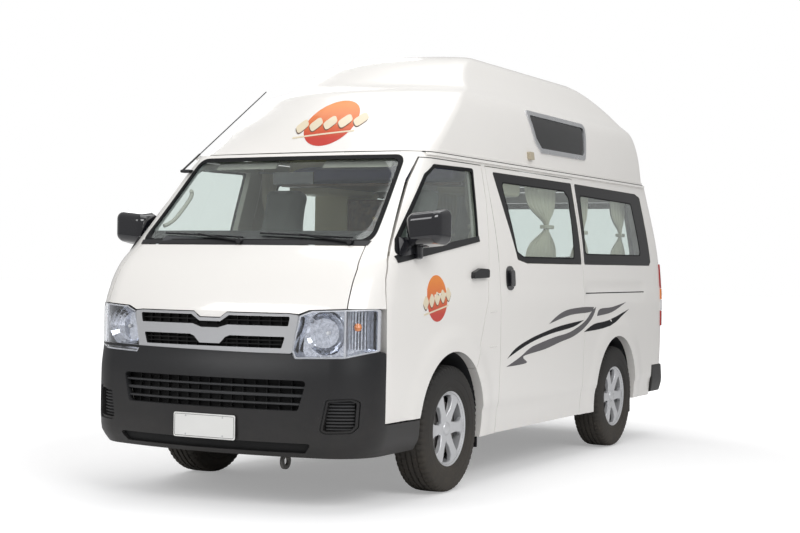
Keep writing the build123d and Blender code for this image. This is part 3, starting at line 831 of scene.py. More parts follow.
def wood_material():
    """Brown veneered board with its grain along the van."""
    tree, shader = start_material("board", Coat_Weight=0.2, Coat_Roughness=0.3)
    place = node(tree, "Mapping", {"Scale": (14, 1.2, 14), "Vector": object_coords(tree)})
    noise = node(tree, "TexNoise", {"Scale": 2.5, "Detail": 8, "Distortion": 1.2,
                                    "Vector": place.outputs["Vector"]}).outputs["Fac"]
    rough = node(tree, "MapRange", {"To Min": 0.35, "To Max": 0.55, "Value": noise})
    feed(tree, shader, {"Base Color": ramp(tree, noise, (0.35, (0.075, 0.035, 0.022)), (0.7, (0.19, 0.10, 0.06))),
                        "Roughness": rough.outputs["Result"]})


def disc_material(colours):
    """Orange over red, graded down the decal's own height."""
    tree, shader = start_material("decal_disc", Roughness=0.35, Coat_Weight=0.3)
    fade = node(tree, "Attribute", attribute_name="fade").outputs["Fac"]
    feed(tree, shader, {"Base Color": ramp(tree, fade, (0.15, colours.disc_foot), (0.9, colours.disc_top))})


def make_materials():
    """Every finish of the van."""
    colours = bpy.context.scene.van_colours
    GROUPS["tone"] = make_tone_group()
    GROUPS["grain"] = make_grain_group()
    GROUPS["weave"] = make_weave_group()
    paint = tuple(colours.paint)
    solid_material("paint", paint, 0.38, cloud=0.012, scale=1.5, dust=0.10, dust_height=0.62, Coat_Weight=0.9,
                   Coat_Roughness=0.05)
    solid_material("gelcoat", tuple(c * 0.99 for c in paint), 0.36, cloud=0.02, scale=1.2, Coat_Weight=0.55,
                   Coat_Roughness=0.12)
    solid_material("inner_trim", (0.50, 0.48, 0.43), 0.7, cloud=0.08, grain=(500, 0.15))
    solid_material("dark_trim", (0.012, 0.0122, 0.014), 0.40, cloud=0.25, scale=3, dust=0.16, dust_height=0.7,
                   grain=(900, 0.10), Specular_IOR_Level=0.45)
    solid_material("grained_trim", (0.030, 0.031, 0.034), 0.62, cloud=0.2, dust=0.2, grain=(800, 0.22))
    solid_material("gloss_black", (0.008, 0.008, 0.011), 0.12, cloud=0.1, Coat_Weight=0.8, Coat_Roughness=0.04)
    solid_material("glass_border", (0.004, 0.004, 0.005), 0.22, cloud=0.1, Specular_IOR_Level=0.25)
    solid_material("seal", (0.006, 0.006, 0.007), 0.6, cloud=0.2, grain=(700, 0.1), Specular_IOR_Level=0.2)
    solid_material("deep_black", (0.004, 0.004, 0.0045), 0.8, cloud=0.3)
    solid_material("silver_trim", (0.50, 0.505, 0.52), 0.36, cloud=0.05, scale=3, Metallic=0.35, Coat_Weight=0.4,
                   Coat_Roughness=0.12)
    solid_material("chrome", (0.82, 0.83, 0.85), 0.09, cloud=0.03, Metallic=1.0)
    solid_material("reflector", (0.50, 0.52, 0.57), 0.10, cloud=0.35, scale=60, Metallic=1.0)
    solid_material("amber", (0.80, 0.22, 0.02), 0.25, cloud=0.1, Coat_Weight=0.8)
    solid_material("lamp_red", (0.42, 0.012, 0.012), 0.18, cloud=0.15, Coat_Weight=1.0)
    solid_material("lamp_white", (0.72, 0.72, 0.72), 0.2, cloud=0.1, Coat_Weight=1.0)
    solid_material("plate_white", (0.80, 0.80, 0.78), 0.35, cloud=0.03, Coat_Weight=0.4)
    solid_material("cab_plastic", (0.060, 0.062, 0.066), 0.6, cloud=0.12, grain=(600, 0.3))
    solid_material("cab_grey", (0.16, 0.165, 0.17), 0.62, cloud=0.1, grain=(600, 0.25))
    solid_material("pillar_grey", (0.30, 0.31, 0.31), 0.6, cloud=0.06, grain=(600, 0.2))
    solid_material("floor_metal", (0.075, 0.078, 0.08), 0.7, cloud=0.3, dust=0.4, dust_height=0.9, grain=(300, 0.2))
    solid_material("cupboard", (0.76, 0.69, 0.50), 0.5, cloud=0.06, scale=3, Coat_Weight=0.15)
    solid_material("rail_metal", (0.62, 0.63, 0.64), 0.3, cloud=0.06, Metallic=0.9)
    solid_material("frame_aluminium", (0.66, 0.67, 0.69), 0.28, cloud=0.08, scale=10, Metallic=0.85)
    solid_material("cast", (0.085, 0.085, 0.088), 0.65, cloud=0.35, scale=12, dust=0.5, dust_height=0.9,
                   grain=(250, 0.4), Metallic=0.4)
    solid_material("chassis_black", (0.018, 0.018, 0.019), 0.6, cloud=0.3, dust=0.5, dust_height=0.9,
                   grain=(300, 0.25))
    solid_material("exhaust_steel", (0.30, 0.27, 0.24), 0.5, cloud=0.4, scale=9, dust=0.3, dust_height=0.8,
                   grain=(400, 0.15), Metallic=0.85)
    solid_material("tank", (0.022, 0.022, 0.024), 0.5, cloud=0.2, dust=0.4, dust_height=0.9, grain=(400, 0.2))
    solid_material("tyre", (0.013, 0.013, 0.0135), 0.72, cloud=0.3, scale=14, dust=0.35, dust_height=0.75,
                   grain=(900, 0.25))
    solid_material("alloy", (0.66, 0.67, 0.69), 0.32, cloud=0.06, scale=8, dust=0.15, dust_height=0.8, Metallic=0.45,
                   Coat_Weight=0.5, Coat_Roughness=0.1)
    solid_material("brake_steel", (0.30, 0.29, 0.28), 0.4, cloud=0.4, scale=20, Metallic=0.9)
    solid_material("stripe_dark", tuple(colours.stripe_dark), 0.5, cloud=0.1, Specular_IOR_Level=0.1)
    solid_material("stripe_grey", tuple(colours.stripe_grey), 0.5, cloud=0.05, Specular_IOR_Level=0.15)
    solid_material("decal_cream", (0.80, 0.70, 0.52), 0.35, cloud=0.04, Coat_Weight=0.3)
    solid_material("vent_beige", (0.50, 0.44, 0.33), 0.6, cloud=0.2, grain=(500, 0.2))
    solid_material("brass", (0.55, 0.42, 0.22), 0.4, cloud=0.2, Metallic=0.8)
    cloth_material("seat_cloth", (0.13, 0.135, 0.125), (0.085, 0.09, 0.085), 260)
    cloth_material("curtain_cloth", (0.66, 0.61, 0.49), (0.54, 0.50, 0.40), 420, bump=0.12)
    cloth_material("violet_cloth", (0.13, 0.13, 0.30), (0.085, 0.085, 0.21), 240)
    cloth_material("headlining", (0.46, 0.44, 0.39), (0.40, 0.385, 0.34), 200, bump=0.1)
    glass_material("glass", (0.80, 0.86, 0.84))
    glass_material("windscreen_glass", (0.90, 0.95, 0.93))
    glass_material("dark_glass", (0.05, 0.055, 0.06))
    glass_material("lamp_clear", (0.97, 0.98, 1.0), 0.01)
    wood_material()
    disc_material(colours)


class VAN_OT_materials(bpy.types.Operator):
    """Makes the finishes and gives each frame node its own"""

    bl_idname = "van.materials"
    bl_label = "Materials"

    def execute(self, context):
        make_materials()
        slots = {s["node"]: s["material_slot"] for s in frame["record"]["subparts"]}
        for name, part in frame["nodes"].items():
            wanted = slots.get(name, "paint")
            if wanted == "cabinet_wood":
                wanted = "board"
            if wanted not in MATERIALS:
                raise RuntimeError(f"no material for {name}: {wanted}")
            part.data.materials.clear()
            part.data.materials.append(MATERIALS[wanted])
        return {"FINISHED"}


ARCH = 392
FRONT_ARCH = -15
REAR_ARCH = 2550


def door_outline():
    """The front door, with the wheel arch out of its lower edge."""
    return FRONT_DOOR[:12] + arch(FRONT_ARCH, ARCH, 47.0, 169.9, 20)


def side_outline(gap, with_sliding_door):
    """A side behind the front door."""
    edge = [(512 + gap, 1774 + gap), (509 + gap, 1579), (445 + gap, 1185), (421 + gap, 1019), (361 + gap, 881),
            (279 + gap, 681), (253 + gap, 642)]
    outline = [(-150, 1806), (-150, 1774 + gap)] + edge + arch(FRONT_ARCH, ARCH, 45.5, -13.9, 14)
    if with_sliding_door:
        outline += [(590, 262), (590, 1190), (558, 1776), (1917, 1776), (1917, 262)]
    outline += arch(REAR_ARCH, ARCH, 193.9, -8.2, 26)
    return outline + [(3290, 300), (3290, 515), (3445, 515), (3325, 1806)]


def front_outline(gap):
    """Pillars, windscreen header and wings, as one piece round the front."""
    lid = [("front", -718 - gap, 990), ("front", -712 - gap, 1180), ("front", -683 - gap, 1300 + gap),
           ("front", 683 + gap, 1300 + gap), ("front", 712 + gap, 1180), ("front", 718 + gap, 990)]
    near = [(-772 - gap, 990), (-772 - gap, 1042), (-752 - gap, 1137), (-703 - gap, 1232), (-324 - gap, 1649),
            (-190, 1774 + gap), (-150, 1774 + gap), (-150, 1806)]
    return lid + [("side", *p) for p in near] + [("far", *p) for p in reversed(near)]


class VAN_OT_panels(bpy.types.Operator):
    """Sides, doors, tailgate, front lid and pillars on the smooth body shape"""

    bl_idname = "van.panels"
    bl_label = "Body panels"

    def execute(self, context):
        sizes = context.scene.van_sizes
        gap = sizes.panel_gap * 1000 / 2
        form = {"inset": (0, 0.045), "fine": True, "edge": sizes.panel_edge}
        shallow = form | {"inset": (0, 0.04)}
        paint = ["paint", "inner_trim"]
        for side, word in SIDES:
            door = f"{word}_door"
            clad(f"{door}_panel", grown(door_outline(), -gap), paint, "paint", door, [door],
                 holes=[rounded(FRONT_DOOR_WINDOW, 14)], side=side, **form)
            holes = [rounded(QUARTER_WINDOW, 20)]
            if side == RIGHT:
                holes.append(rounded(SLIDING_WINDOW, 14))
            clad(f"{word}_side_panel", side_outline(gap, side == LEFT), paint, "paint",
                 stands_for=[f"{word}_side"], holes=holes, side=side, **form)
        clad("sliding_door_panel", grown(SLIDING_DOOR, -gap), paint, "paint", stands_for=["sliding_door"],
             holes=[rounded(SLIDING_WINDOW, 14)], **form)
        clad("front_pillars", front_outline(gap), ["paint", "pillar_grey"], "paint", stands_for=["front_panel"],
             holes=[rounded(WINDSCREEN, 60)], view="front", **shallow)
        clad("front_lid_panel", grown(FRONT_LID, -gap), paint, "paint", "front_lid", ["front_lid"],
             view="front", gap=20, **(form | {"inset": (0, 0.022)}))
        clad("tailgate_panel", grown(TAILGATE, -gap), paint, "paint", "tailgate", ["tailgate"],
             holes=[rounded(TAILGATE_WINDOW, 40)], view="rear", **shallow)
        clad("rear_surround", self.rear_outline(gap), paint, "paint", stands_for=["rear_frame"], view="rear",
             **form)
        return {"FINISHED"}

    @staticmethod
    def rear_outline(gap):
        """Corner pillars and roof header round the tailgate, open below."""
        gate = [(-706 - gap, 545 - gap), (-716 - gap, 1200), (-640 - gap, 1768 + gap), (640 + gap, 1768 + gap),
                (716 + gap, 1200), (706 + gap, 545 - gap)]
        near = [(3447, 517), (3409, 910), (3327, 1806)]
        loop = [("rear", *p) for p in gate]
        loop += [("rear", 706 + gap, 517)] + [("side", *p) for p in near]
        return loop + [("far rear", *p) for p in reversed(near)] + [("rear", -706 - gap, 517)]


# How deep the glass and its black border lie in the side and rear windows.
BORDER_DEPTH = (0.001, 0.007)
PANE_DEPTH = (0.0025, 0.0065)
DOOR_SASH = [(-640, 1216), (-652, 1250), (-606, 1262), (335, 1372), (343, 1342), (-40, 1292), (-590, 1222)]


class VAN_OT_glass(bpy.types.Operator):
    """Window glass with its black borders and rubber seals"""

    bl_idname = "van.glass"
    bl_label = "Glass and seals"

    def execute(self, context):
        wide = context.scene.van_sizes.seal_width * 1000
        for side, word in SIDES:
            for part, outline, clear, radius in (("sliding", SLIDING_WINDOW, SLIDING_CLEAR, 14),
                                                 ("quarter", QUARTER_WINDOW, QUARTER_CLEAR, 20)):
                piece = f"{word}_{part}"
                inside = rounded(clear, 34, 6)
                clad(f"{piece}_border", rounded(grown(outline, -1.5), radius), "glass_border", "glass",
                     stands_for=["side_glass"], holes=[inside], side=side, inset=BORDER_DEPTH, edge=0.001)
                clad(f"{piece}_pane", inside, "glass", "glass", side=side, inset=PANE_DEPTH)
                clad(f"{piece}_lip", rounded(grown(clear, 3), 36, 6), "seal", "glass",
                     holes=[rounded(grown(clear, -5), 30, 6)], side=side, inset=(0.0005, 0.0035))
            door = f"{word}_door"
            clad(f"{door}_pane", rounded(grown(FRONT_DOOR_WINDOW, -2), 14), "glass", "glass", door,
                 [f"{door}_glass"], side=side, inset=(0.010, 0.014))
            clad(f"{door}_seal", rounded(grown(FRONT_DOOR_WINDOW, 5), 18), "seal", "glass", door,
                 holes=[rounded(grown(FRONT_DOOR_WINDOW, -wide), 20)], side=side, inset=(-0.003, 0.009),
                 edge=0.002, fine=True)
            clad(f"{door}_sash", DOOR_SASH, "dark_trim", "gloss_black", door, side=side,
                 inset=(-0.006, -0.0005), edge=0.002)
        clad("windscreen_pane", rounded(grown(WINDSCREEN, -3), 58, 8), "windscreen_glass", "glass",
             stands_for=["windscreen"], view="front", inset=(0.008, 0.014))
        clad("windscreen_seal", rounded(grown(WINDSCREEN, 7), 66, 8), "seal", "glass",
             holes=[rounded(grown(WINDSCREEN, -wide - 3), 50, 8)], view="front", inset=(-0.003, 0.013), edge=0.002)
        clad("windscreen_base_band", [(-690, 1320), (690, 1320), (682, 1372), (-682, 1372)], "glass_border",
             "glass", view="front", inset=(0.0145, 0.0155))
        inside = rounded(grown(TAILGATE_WINDOW, -45), 36)
        clad("tailgate_border", rounded(grown(TAILGATE_WINDOW, -2), 40), "glass_border", "glass", "tailgate",
             ["tailgate_glass"], holes=[inside], view="rear", inset=BORDER_DEPTH, edge=0.001)
        clad("tailgate_pane", inside, "glass", "glass", "tailgate", view="rear", inset=PANE_DEPTH)
        return {"FINISHED"}


# Heights of the high top's foot and crown in millimetres, and of the crown's cover.
TOP_FOOT, TOP_CROWN = 1812, 2494
COVER_Z = 2.4916


def half_ring(side, low, high):
    """A band round one half of the van, from the middle of the front to the middle of the rear."""
    return [("round", 0, low), ("round", side * 5, low), ("round", side * 5, high), ("round", 0, high)]


class VAN_OT_high_top(bpy.types.Operator):
    """Fibreglass roof with its pop-out windows, seam and vents"""

    bl_idname = "van.high_top"
    bl_label = "High top"

    def execute(self, context):
        halves = [shell(f"high_top_{side}", half_ring(side, TOP_FOOT, TOP_CROWN), [rounded(POP_WINDOW, 34, 6)],
                        TOP_HULL, side=side, inset=(0, 0.025), z_step=0.022, fine=True) for side, word in SIDES]
        brim = [TOP_HULL.point(k / 4, TOP_CROWN / 1000).xy for k in range(40)]
        halves.append(plate("crown", brim, 0.003, "XY", COVER_Z))
        roof = joined("high_top_shell", halves)
        self.close_crown(roof)
        trim(roof, ["gelcoat", "headlining"], ["high_top"], smooth=50)
        inner = rounded(grown(POP_WINDOW, -20), 24, 6)
        for side, word in SIDES:
            form = {"hull": TOP_HULL, "side": side}
            clad(f"{word}_pop_frame", rounded(grown(POP_WINDOW, 7), 38, 6), "frame_aluminium", "rail_metal",
                 stands_for=["high_top_windows"], holes=[rounded(grown(POP_WINDOW, -22), 24, 6)],
                 inset=(-0.009, 0.004), edge=0.003, **form)
            clad(f"{word}_pop_pane", inner, "dark_glass", "glass", inset=(-0.003, 0.001), **form)
            # A black sheet behind each pop-out window's glass: painted shade of the dark inside of the high top.
            clad(f"{word}_pop_painted_shade", inner, "deep_black", "curtain_cloth", inset=(0.016, 0.019), **form)
            clad(f"{word}_roof_seam", half_ring(side, TOP_FOOT, TOP_FOOT + 16), "gelcoat", "gelcoat",
                 inset=(-0.006, 0.002), edge=0.002, fine=True, **form)
        clad("side_vent", rounded(oblong((1255, 1318), (1858, 1905)), 6), "vent_beige", "gelcoat", hull=TOP_HULL,
             inset=(-0.022, 0.0), edge=0.004)
        return {"FINISHED"}

    @staticmethod
    def close_crown(roof):
        """Merges the two halves and closes the crown with one face outside and one inside."""
        bm = bmesh.new()
        bm.from_mesh(roof.data)
        middle = [f for f in bm.faces if all(abs(v.co.x) < 1e-5 for v in f.verts)]
        bmesh.ops.delete(bm, geom=middle, context="FACES")
        bmesh.ops.remove_doubles(bm, verts=bm.verts[:], dist=0.0002)
        brim = max(v.co.z for v in bm.verts) - 0.002
        walls = [f for f in bm.faces if all(v.co.z > brim for v in f.verts)]
        bmesh.ops.delete(bm, geom=walls, context="FACES")
        rings = {0: [], 1: []}
        for e in bm.edges:
            if e.is_boundary and all(v.co.z > brim for v in e.verts):
                rings[e.link_faces[0].material_index].append(e)
        for index, edges in rings.items():
            for f in bmesh.ops.contextual_create(bm, geom=edges)["faces"]:
                f.material_index = index
        bmesh.ops.recalc_face_normals(bm, faces=bm.faces[:])
        bm.to_mesh(roof.data)
        bm.free()


LAMP = [(455, 785), (492, 953), (553, 977), (700, 984), (831, 989), (831, 782), (716, 750), (470, 743)]
LAMP_FOOT = [(831, 782), (716, 750), (470, 743), (455, 765)]
INTAKE = [(-545, 640), (545, 640), (505, 492), (-505, 492)]
FOG = [(640, 552), (752, 560), (786, 545), (780, 420), (755, 390), (640, 386), (610, 396)]
LIP = [(-575, 336), (575, 336), (530, 286), (-530, 286)]
GRILLE = [(-455, 768), (455, 768), (488, 955), (440, 960), (100, 960), (60, 932), (-60, 932), (-100, 960),
          (-440, 960), (-488, 955)]
UPPER_SLOT = [(-436, 900), (-105, 900), (-50, 884), (50, 884), (105, 900), (436, 900), (444, 947), (112, 947),
              (62, 915), (-62, 915), (-112, 947), (-444, 947)]
LOWER_SLOT = [(-402, 792), (402, 792), (420, 848), (118, 848), (92, 838), (60, 806), (-60, 806), (-92, 838),
              (-118, 848), (-420, 848)]
REAR_BUMPER = [
    (318, 832, -1000, 130, 250, 3572, 95),
    (400, 845, -1000, 130, 250, 3593, 95),
    (515, 843, -1000, 130, 250, 3580, 95),
]
REAR_BUMPER_HULL = Hull(REAR_BUMPER)


class VAN_OT_bumper(bpy.types.Operator):
    """Front bumper with its intake, fog recesses, lip and plate, and the rear bumper"""

    bl_idname = "van.bumper"
    bl_label = "Bumpers"

    def execute(self, context):
        form = {"hull": BUMPER_HULL, "view": "front"}
        both = ["dark_trim", "grained_trim"]
        top = [("front", *p) for p in mirrored(LAMP_FOOT) + LAMP_FOOT[::-1]]
        end = [(-396, 264), (-402, 419), (-775, 421), (-775, 774)]
        outline = [("far", *p) for p in end] + top + [("side", *p) for p in reversed(end)]
        holes = [rounded(INTAKE, 22), rounded(FOG, 20), rounded(mirrored(FOG), 20), rounded(LIP, 14)]
        clad("bumper_skin", outline, both, "dark_trim", stands_for=["front_bumper"], holes=holes, inset=(0, 0.035),
             edge=0.005, fine=True, **form)
        # Black plates behind the intake, lip and fog recesses: painted shade of the dark space behind them.
        for word, hole, depth in (("intake", INTAKE, 0.05), ("lip", LIP, 0.02), ("left_fog", FOG, 0.032),
                                  ("right_fog", mirrored(FOG), 0.032)):
            clad(f"bumper_{word}_back", grown(hole, 14), "deep_black", "dark_trim", inset=(depth, depth + 0.006),
                 **form)
        for z, thick in ((524, 10), (565, 14), (605, 10)):
            half = 505 + (z - 492) * 0.27 + 8
            clad(f"bumper_slat_{z}", oblong((-half, half), (z - thick / 2, z + thick / 2)), "grained_trim",
                 "dark_trim", inset=(0.012, 0.042), edge=0.003, **form)
        bars = [strip(f"intake_bar_{x}", (x - 3, x + 3), (494, 638), (0.034, 0.045), **form)
                for x in range(-455, 500, 65)]
        trim(joined("bumper_intake_bars", bars), "deep_black")
        for side, word in SIDES:
            ribs = [strip(f"fog_rib_{z}", across(side, 634, 768), (z, z + 8), (0.024, 0.034), **form)
                    for z in range(404, 533, 16)]
            trim(joined(f"{word}_fog_ribs", ribs), "grained_trim")
            rim = grown(facing(FOG, side), -2)
            clad(f"{word}_fog_rim", rounded(rim, 18), "dark_trim", "dark_trim",
                 holes=[rounded(grown(rim, -11), 12)], inset=(0.008, 0.032), edge=0.002, **form)
        self.number_plate()
        end = [(3298, 320), (3298, 513)]
        outline = [("side", *p) for p in end] + [("far rear", *p) for p in reversed(end)]
        clad("rear_bumper_skin", outline, both, "dark_trim", stands_for=["rear_bumper"], hull=REAR_BUMPER_HULL,
             inset=(0, 0.05), edge=0.012)
        return {"FINISHED"}

    @staticmethod
    def number_plate():
        """The blank plate with its holder and four screws."""
        y = -1.100 + AXLE_Y
        edge = rounded(oblong((-0.183, 0.183), (0.336, 0.458)), 0.012)
        plain = bevel(plate("front_plate_blank", edge, 0.0035, "XZ", y), 0.0012)
        trim(plain, "plate_white", ["front_plate"])
        inner = rounded(oblong((-0.176, 0.176), (0.343, 0.451)), 0.008)
        rim = tube("front_plate_rim", [(x, y - 0.0004, z) for x, z in inner[::2]], 0.0011, 8, True)
        trim(rim, "cab_grey")
        profile = [(0.0025, 0.0), (-0.002, 0.0), (-0.0014, 0.004), (0.0025, 0.0055)]
        screws = [lathe(f"plate_screw_{x}_{z}", profile, 16, "Y", (x, y, z)) for x in (-0.11, 0.11)
                  for z in (0.352, 0.443)]
        trim(joined("plate_screws", screws), "rail_metal")


class VAN_OT_face(bpy.types.Operator):
    """Grille, headlamps, cowl and wipers"""

    bl_idname = "van.face"
    bl_label = "Grille and lamps"

    def execute(self, context):
        clad("grille_frame", rounded(GRILLE, 14), ["silver_trim", "deep_black"], "silver_trim",
             stands_for=["grille"], holes=[rounded(UPPER_SLOT, 8), rounded(LOWER_SLOT, 8)], view="front",
             inset=(-0.004, 0.03), edge=0.004, fine=True, z_step=0.012, gap=14)
        # A black plate behind the grille's slots: painted shade of the dark space behind the grille.
        clad("grille_painted_shade", [(-470, 772), (470, 772), (484, 952), (-484, 952)], "deep_black", "dark_trim",
             view="front", inset=(0.032, 0.038))
        slats = [strip(f"grille_slat_{z}", (-half, half), (z, z + 5), (0.010, 0.03), view="front")
                 for z, half in ((806, 400), (826, 408), (921, 436))]
        trim(joined("grille_slats", slats), "deep_black")
        bars = [strip(f"grille_bar_{x}", (x - 2, x + 2), heights, (0.014, 0.03), view="front")
                for x in range(-390, 400, 60) for heights in ((793, 846), (901, 946))]
        trim(joined("grille_bars", bars), "deep_black")
        for side, word in SIDES:
            self.lamp(side, word)
        clad("windscreen_cowl", [(-694, 1301), (694, 1301), (700, 1324), (-700, 1324)], "dark_trim", "dark_trim",
             view="front", inset=(-0.004, 0.012), edge=0.002)
        self.wipers()
        return {"FINISHED"}

    @staticmethod
    def lamp(side, word):
        """One headlamp: clear cover, bright bowl, bulbs, divider and flutes."""
        form = {"view": "front", "slot": "lamp_clear"}
        outline = rounded(facing(LAMP, side), 14)
        clad(f"{word}_lamp_cover", outline, "lamp_clear", stands_for=["headlamps"], inset=(-0.003, 0.0015),
             edge=0.001, fine=True, z_step=0.02, gap=16, **form)
        clad(f"{word}_lamp_wall", outline, ["silver_trim", "reflector"],
             holes=[rounded(grown(facing(LAMP, side), -7), 10)], inset=(0.003, 0.072), fine=True, **form)
        clad(f"{word}_lamp_back", grown(facing(LAMP, side), -3), "reflector", inset=(0.068, 0.073), **form)
        lamp_x, lamp_z = side * 0.598, 0.868
        front_y = BODY_HULL.point(side * 1.14, lamp_z, 0.012).y
        bowl = [(0.004 + 6.08 * r * r, r) for r in (0.016, 0.03, 0.045, 0.06, 0.075, 0.09, 0.104)]
        bowl += [(x - 0.004, r + 0.003) for x, r in reversed(bowl)]
        bulb = [(0.045, 0.0), (0.04, 0.009), (0.02, 0.013), (0.0, 0.013), (0.0, 0.0)]
        for part, profile, back, finish, smooth in (("bowl", bowl, 0.075, "reflector", 0),
                                                    ("bulb", bulb, 0.07, "lamp_white", 35)):
            piece = lathe(f"{word}_main_{part}", profile, 24, "Y")
            piece.data.transform(Matrix.Translation((lamp_x, front_y + back, lamp_z))
                                 @ Matrix.Rotation(math.pi, 4, "Z"))
            trim(piece, finish, smooth=smooth)
        clad(f"{word}_lamp_divider", oblong(across(side, 708, 716), (756, 982)), "silver_trim",
             inset=(0.003, 0.07), edge=0.0015, **form)
        flutes = [strip(f"flute_{x}", across(side, x, x + 7), (790, 978), (0.046, 0.064), 0.003, view="front")
                  for x in range(724, 809, 14)]
        trim(joined(f"{word}_lamp_flutes", flutes), "reflector")
        amber = lathe(f"{word}_amber_bulb", [(-0.022, 0.0), (-0.016, 0.014), (0.0, 0.02), (0.016, 0.014),
                                             (0.022, 0.0)], 24, "Z", front_point(side * 0.765, 0.9, 0.036))
        trim(amber, "amber")

    @staticmethod
    def wipers():
        """Two arms with blades lying along the foot of the windscreen."""
        made = []
        for start, end in ((-30, -560), (600, 60)):
            blade, arm = [[front_point((start + (end - start) * share * k / parts) / 1000,
                                       low + rise * k / parts, -off) for k in range(parts + 1)]
                          for share, parts, low, rise, off in ((1, 8, 1.338, 0.022, 0.006),
                                                               (0.55, 6, 1.318, 0.036, 0.014))]
            made += [tube("blade", blade, 0.005, 8), tube("arm", arm, 0.0065, 8),
                     lathe("pivot", [(-0.012, 0.0), (-0.012, 0.014), (0.012, 0.017), (0.012, 0.0)], 20, "Y",
                           arm[0])]
        trim(joined("wiper_arms", made), "dark_trim", ["wipers"])


TYRE_R = 0.338
WHEELS = [("front_left", LEFT, 0.0), ("front_right", RIGHT, 0.0), ("rear_left", LEFT, WHEELBASE),
          ("rear_right", RIGHT, WHEELBASE)]


def wheel_matrix(side, back):
    """Takes a wheel made at the origin, facing +X, to its axle end."""
    place = Matrix.Translation((side * HALF_TRACK, AXLE_Y + back, AXLE_Z))
    return place @ Matrix.Scale(side, 4, (1, 0, 0))


class VAN_OT_wheels(bpy.types.Operator):
    """Tyres with tread, six-spoke wheels, brakes, arch liners and mud flaps"""

    bl_idname = "van.wheels"
    bl_label = "Wheels"

    def execute(self, context):
        sizes = context.scene.van_sizes
        tyre = self.make_tyre(sizes.tread_depth, sizes.tread_blocks)
        rim = self.make_rim()
        for name, side, back in WHEELS:
            where = wheel_matrix(side, back)
            dress(copy_of(tyre, f"{name}_tyre_tread", where), "tyre", f"{name}_wheel", [f"{name}_tyre"])
            dress(copy_of(rim, f"{name}_alloy_wheel", where), ["alloy", "brake_steel", "deep_black"],
                  f"{name}_wheel", [f"{name}_rim"])
        for old in (tyre, rim):
            bpy.data.objects.remove(old, do_unlink=True)
        for side, word in SIDES:
            for end, centre, flap_y in (("front", FRONT_ARCH / 1000, 0.404), ("rear", REAR_ARCH / 1000, 2.968)):
                self.make_liner(side, f"{word}_{end}", centre)
                self.make_flap(side, f"{word}_{end}", flap_y)
        return {"FINISHED"}

    @staticmethod
    def make_tyre(depth, blocks):
        """A radial tyre: ribs between round grooves, notched shoulder blocks and rings on the walls."""
        r = TYRE_R
        ribs = [(0.0, r), (0.010, r), (0.012, r - depth), (0.019, r - depth), (0.021, r), (0.042, r - 0.0006),
                (0.044, r - depth), (0.050, r - depth), (0.052, r - 0.001), (0.070, r - 0.003),
                (0.082, r - 0.0085), (0.089, r - 0.018), (0.093, r - 0.032), (0.096, r - 0.05), (0.0975, r - 0.07),
                (0.0972, r - 0.078), (0.0958, r - 0.08), (0.0965, r - 0.095), (0.094, r - 0.115),
                (0.0912, r - 0.118), (0.087, r - 0.132), (0.080, r - 0.141), (0.076, r - 0.148)]
        inside = [(0.070, r - 0.147), (0.080, r - 0.12), (0.084, r - 0.07), (0.07, r - 0.03), (0.0, r - 0.022)]
        half = ribs + inside
        tyre = lathe("tyre_form", half + [(-a, q) for a, q in reversed(half[1:-1])], blocks * 3, "X")
        for v in tyre.data.vertices:
            off, radius = abs(v.co.x), math.hypot(v.co.y, v.co.z)
            turn = math.atan2(v.co.z, v.co.y) / math.tau * blocks * 3
            if round(turn + (1 if v.co.x > 0 else 0)) % 3:
                continue
            if 0.0515 < off < 0.0895 and radius > r - 0.02:
                shrink = (radius - depth * 0.8) / radius
            elif 0.0205 < off < 0.0425 and radius > r - 0.002 and round(turn / 3) % 2 == 0:
                shrink = (radius - depth * 0.6) / radius
            else:
                continue
            v.co.y *= shrink
            v.co.z *= shrink
        return tyre

    @staticmethod
    def make_rim():
        """A cast wheel: barrel, lip, six flared spokes, cap, and the brake disc behind."""
        barrel = lathe("barrel", [(0.080, 0.203), (0.083, 0.199), (0.081, 0.194), (0.074, 0.189), (0.068, 0.180),
                                  (0.02, 0.181), (-0.070, 0.182), (-0.084, 0.190), (-0.086, 0.203), (-0.078, 0.205),
                                  (-0.068, 0.188), (0.015, 0.187), (0.06, 0.191), (0.074, 0.206)], 72, "X")
        pieces = [barrel]
        outline = [(0.030, -0.033), (0.060, -0.034), (0.105, -0.026), (0.150, -0.031), (0.172, -0.045),
                   (0.186, -0.062), (0.192, -0.040), (0.193, 0.0)]
        outline += [(a, -b) for a, b in reversed(outline[:-1])]
        spoke = bevel(plate("spoke", outline, 0.030, "YZ", 0.044), 0.006, 3, 0.9)
        for v in spoke.data.vertices:
            if v.co.x > 0.055:
                along = math.hypot(v.co.y, v.co.z)
                v.co.x -= 0.014 * max(0, (0.13 - along) / 0.13) ** 1.5
                v.co.x += 0.004 * math.exp(-((along - 0.15) / 0.04) ** 2) * (v.co.x > 0.055)
                v.co.x -= 0.009 * (abs(v.co.z) / 0.05) ** 2 * (v.co.x > 0.055)
        for k in range(6):
            pieces.append(copy_of(spoke, f"spoke_{k}", Matrix.Rotation(math.radians(60 * k), 4, "X")))
        bpy.data.objects.remove(spoke, do_unlink=True)
        hub = [(0.03, 0.0), (0.03, 0.062), (0.052, 0.062), (0.060, 0.056), (0.063, 0.044), (0.064, 0.036),
               (0.0695, 0.033), (0.0735, 0.026), (0.0755, 0.012), (0.076, 0.0)]
        pieces.append(lathe("hub", hub, 48, "X"))
        rim = joined("rim_face", pieces)
        disc = lathe("brake", [(0.038, 0.05), (0.038, 0.142), (0.026, 0.142), (0.026, 0.05)], 64, "X")
        shade = lathe("shade", [(0.024, 0.0), (0.024, 0.179), (0.018, 0.179), (0.018, 0.0)], 64, "X")
        for part, index in ((rim, 0), (disc, 1), (shade, 2)):
            part.data.materials.clear()
            for name in ("alloy", "brake_steel", "deep_black"):
                part.data.materials.append(MATERIALS[name])
            for f in part.data.polygons:
                f.material_index = index
        return joined("rim_form", [rim, disc, shade])

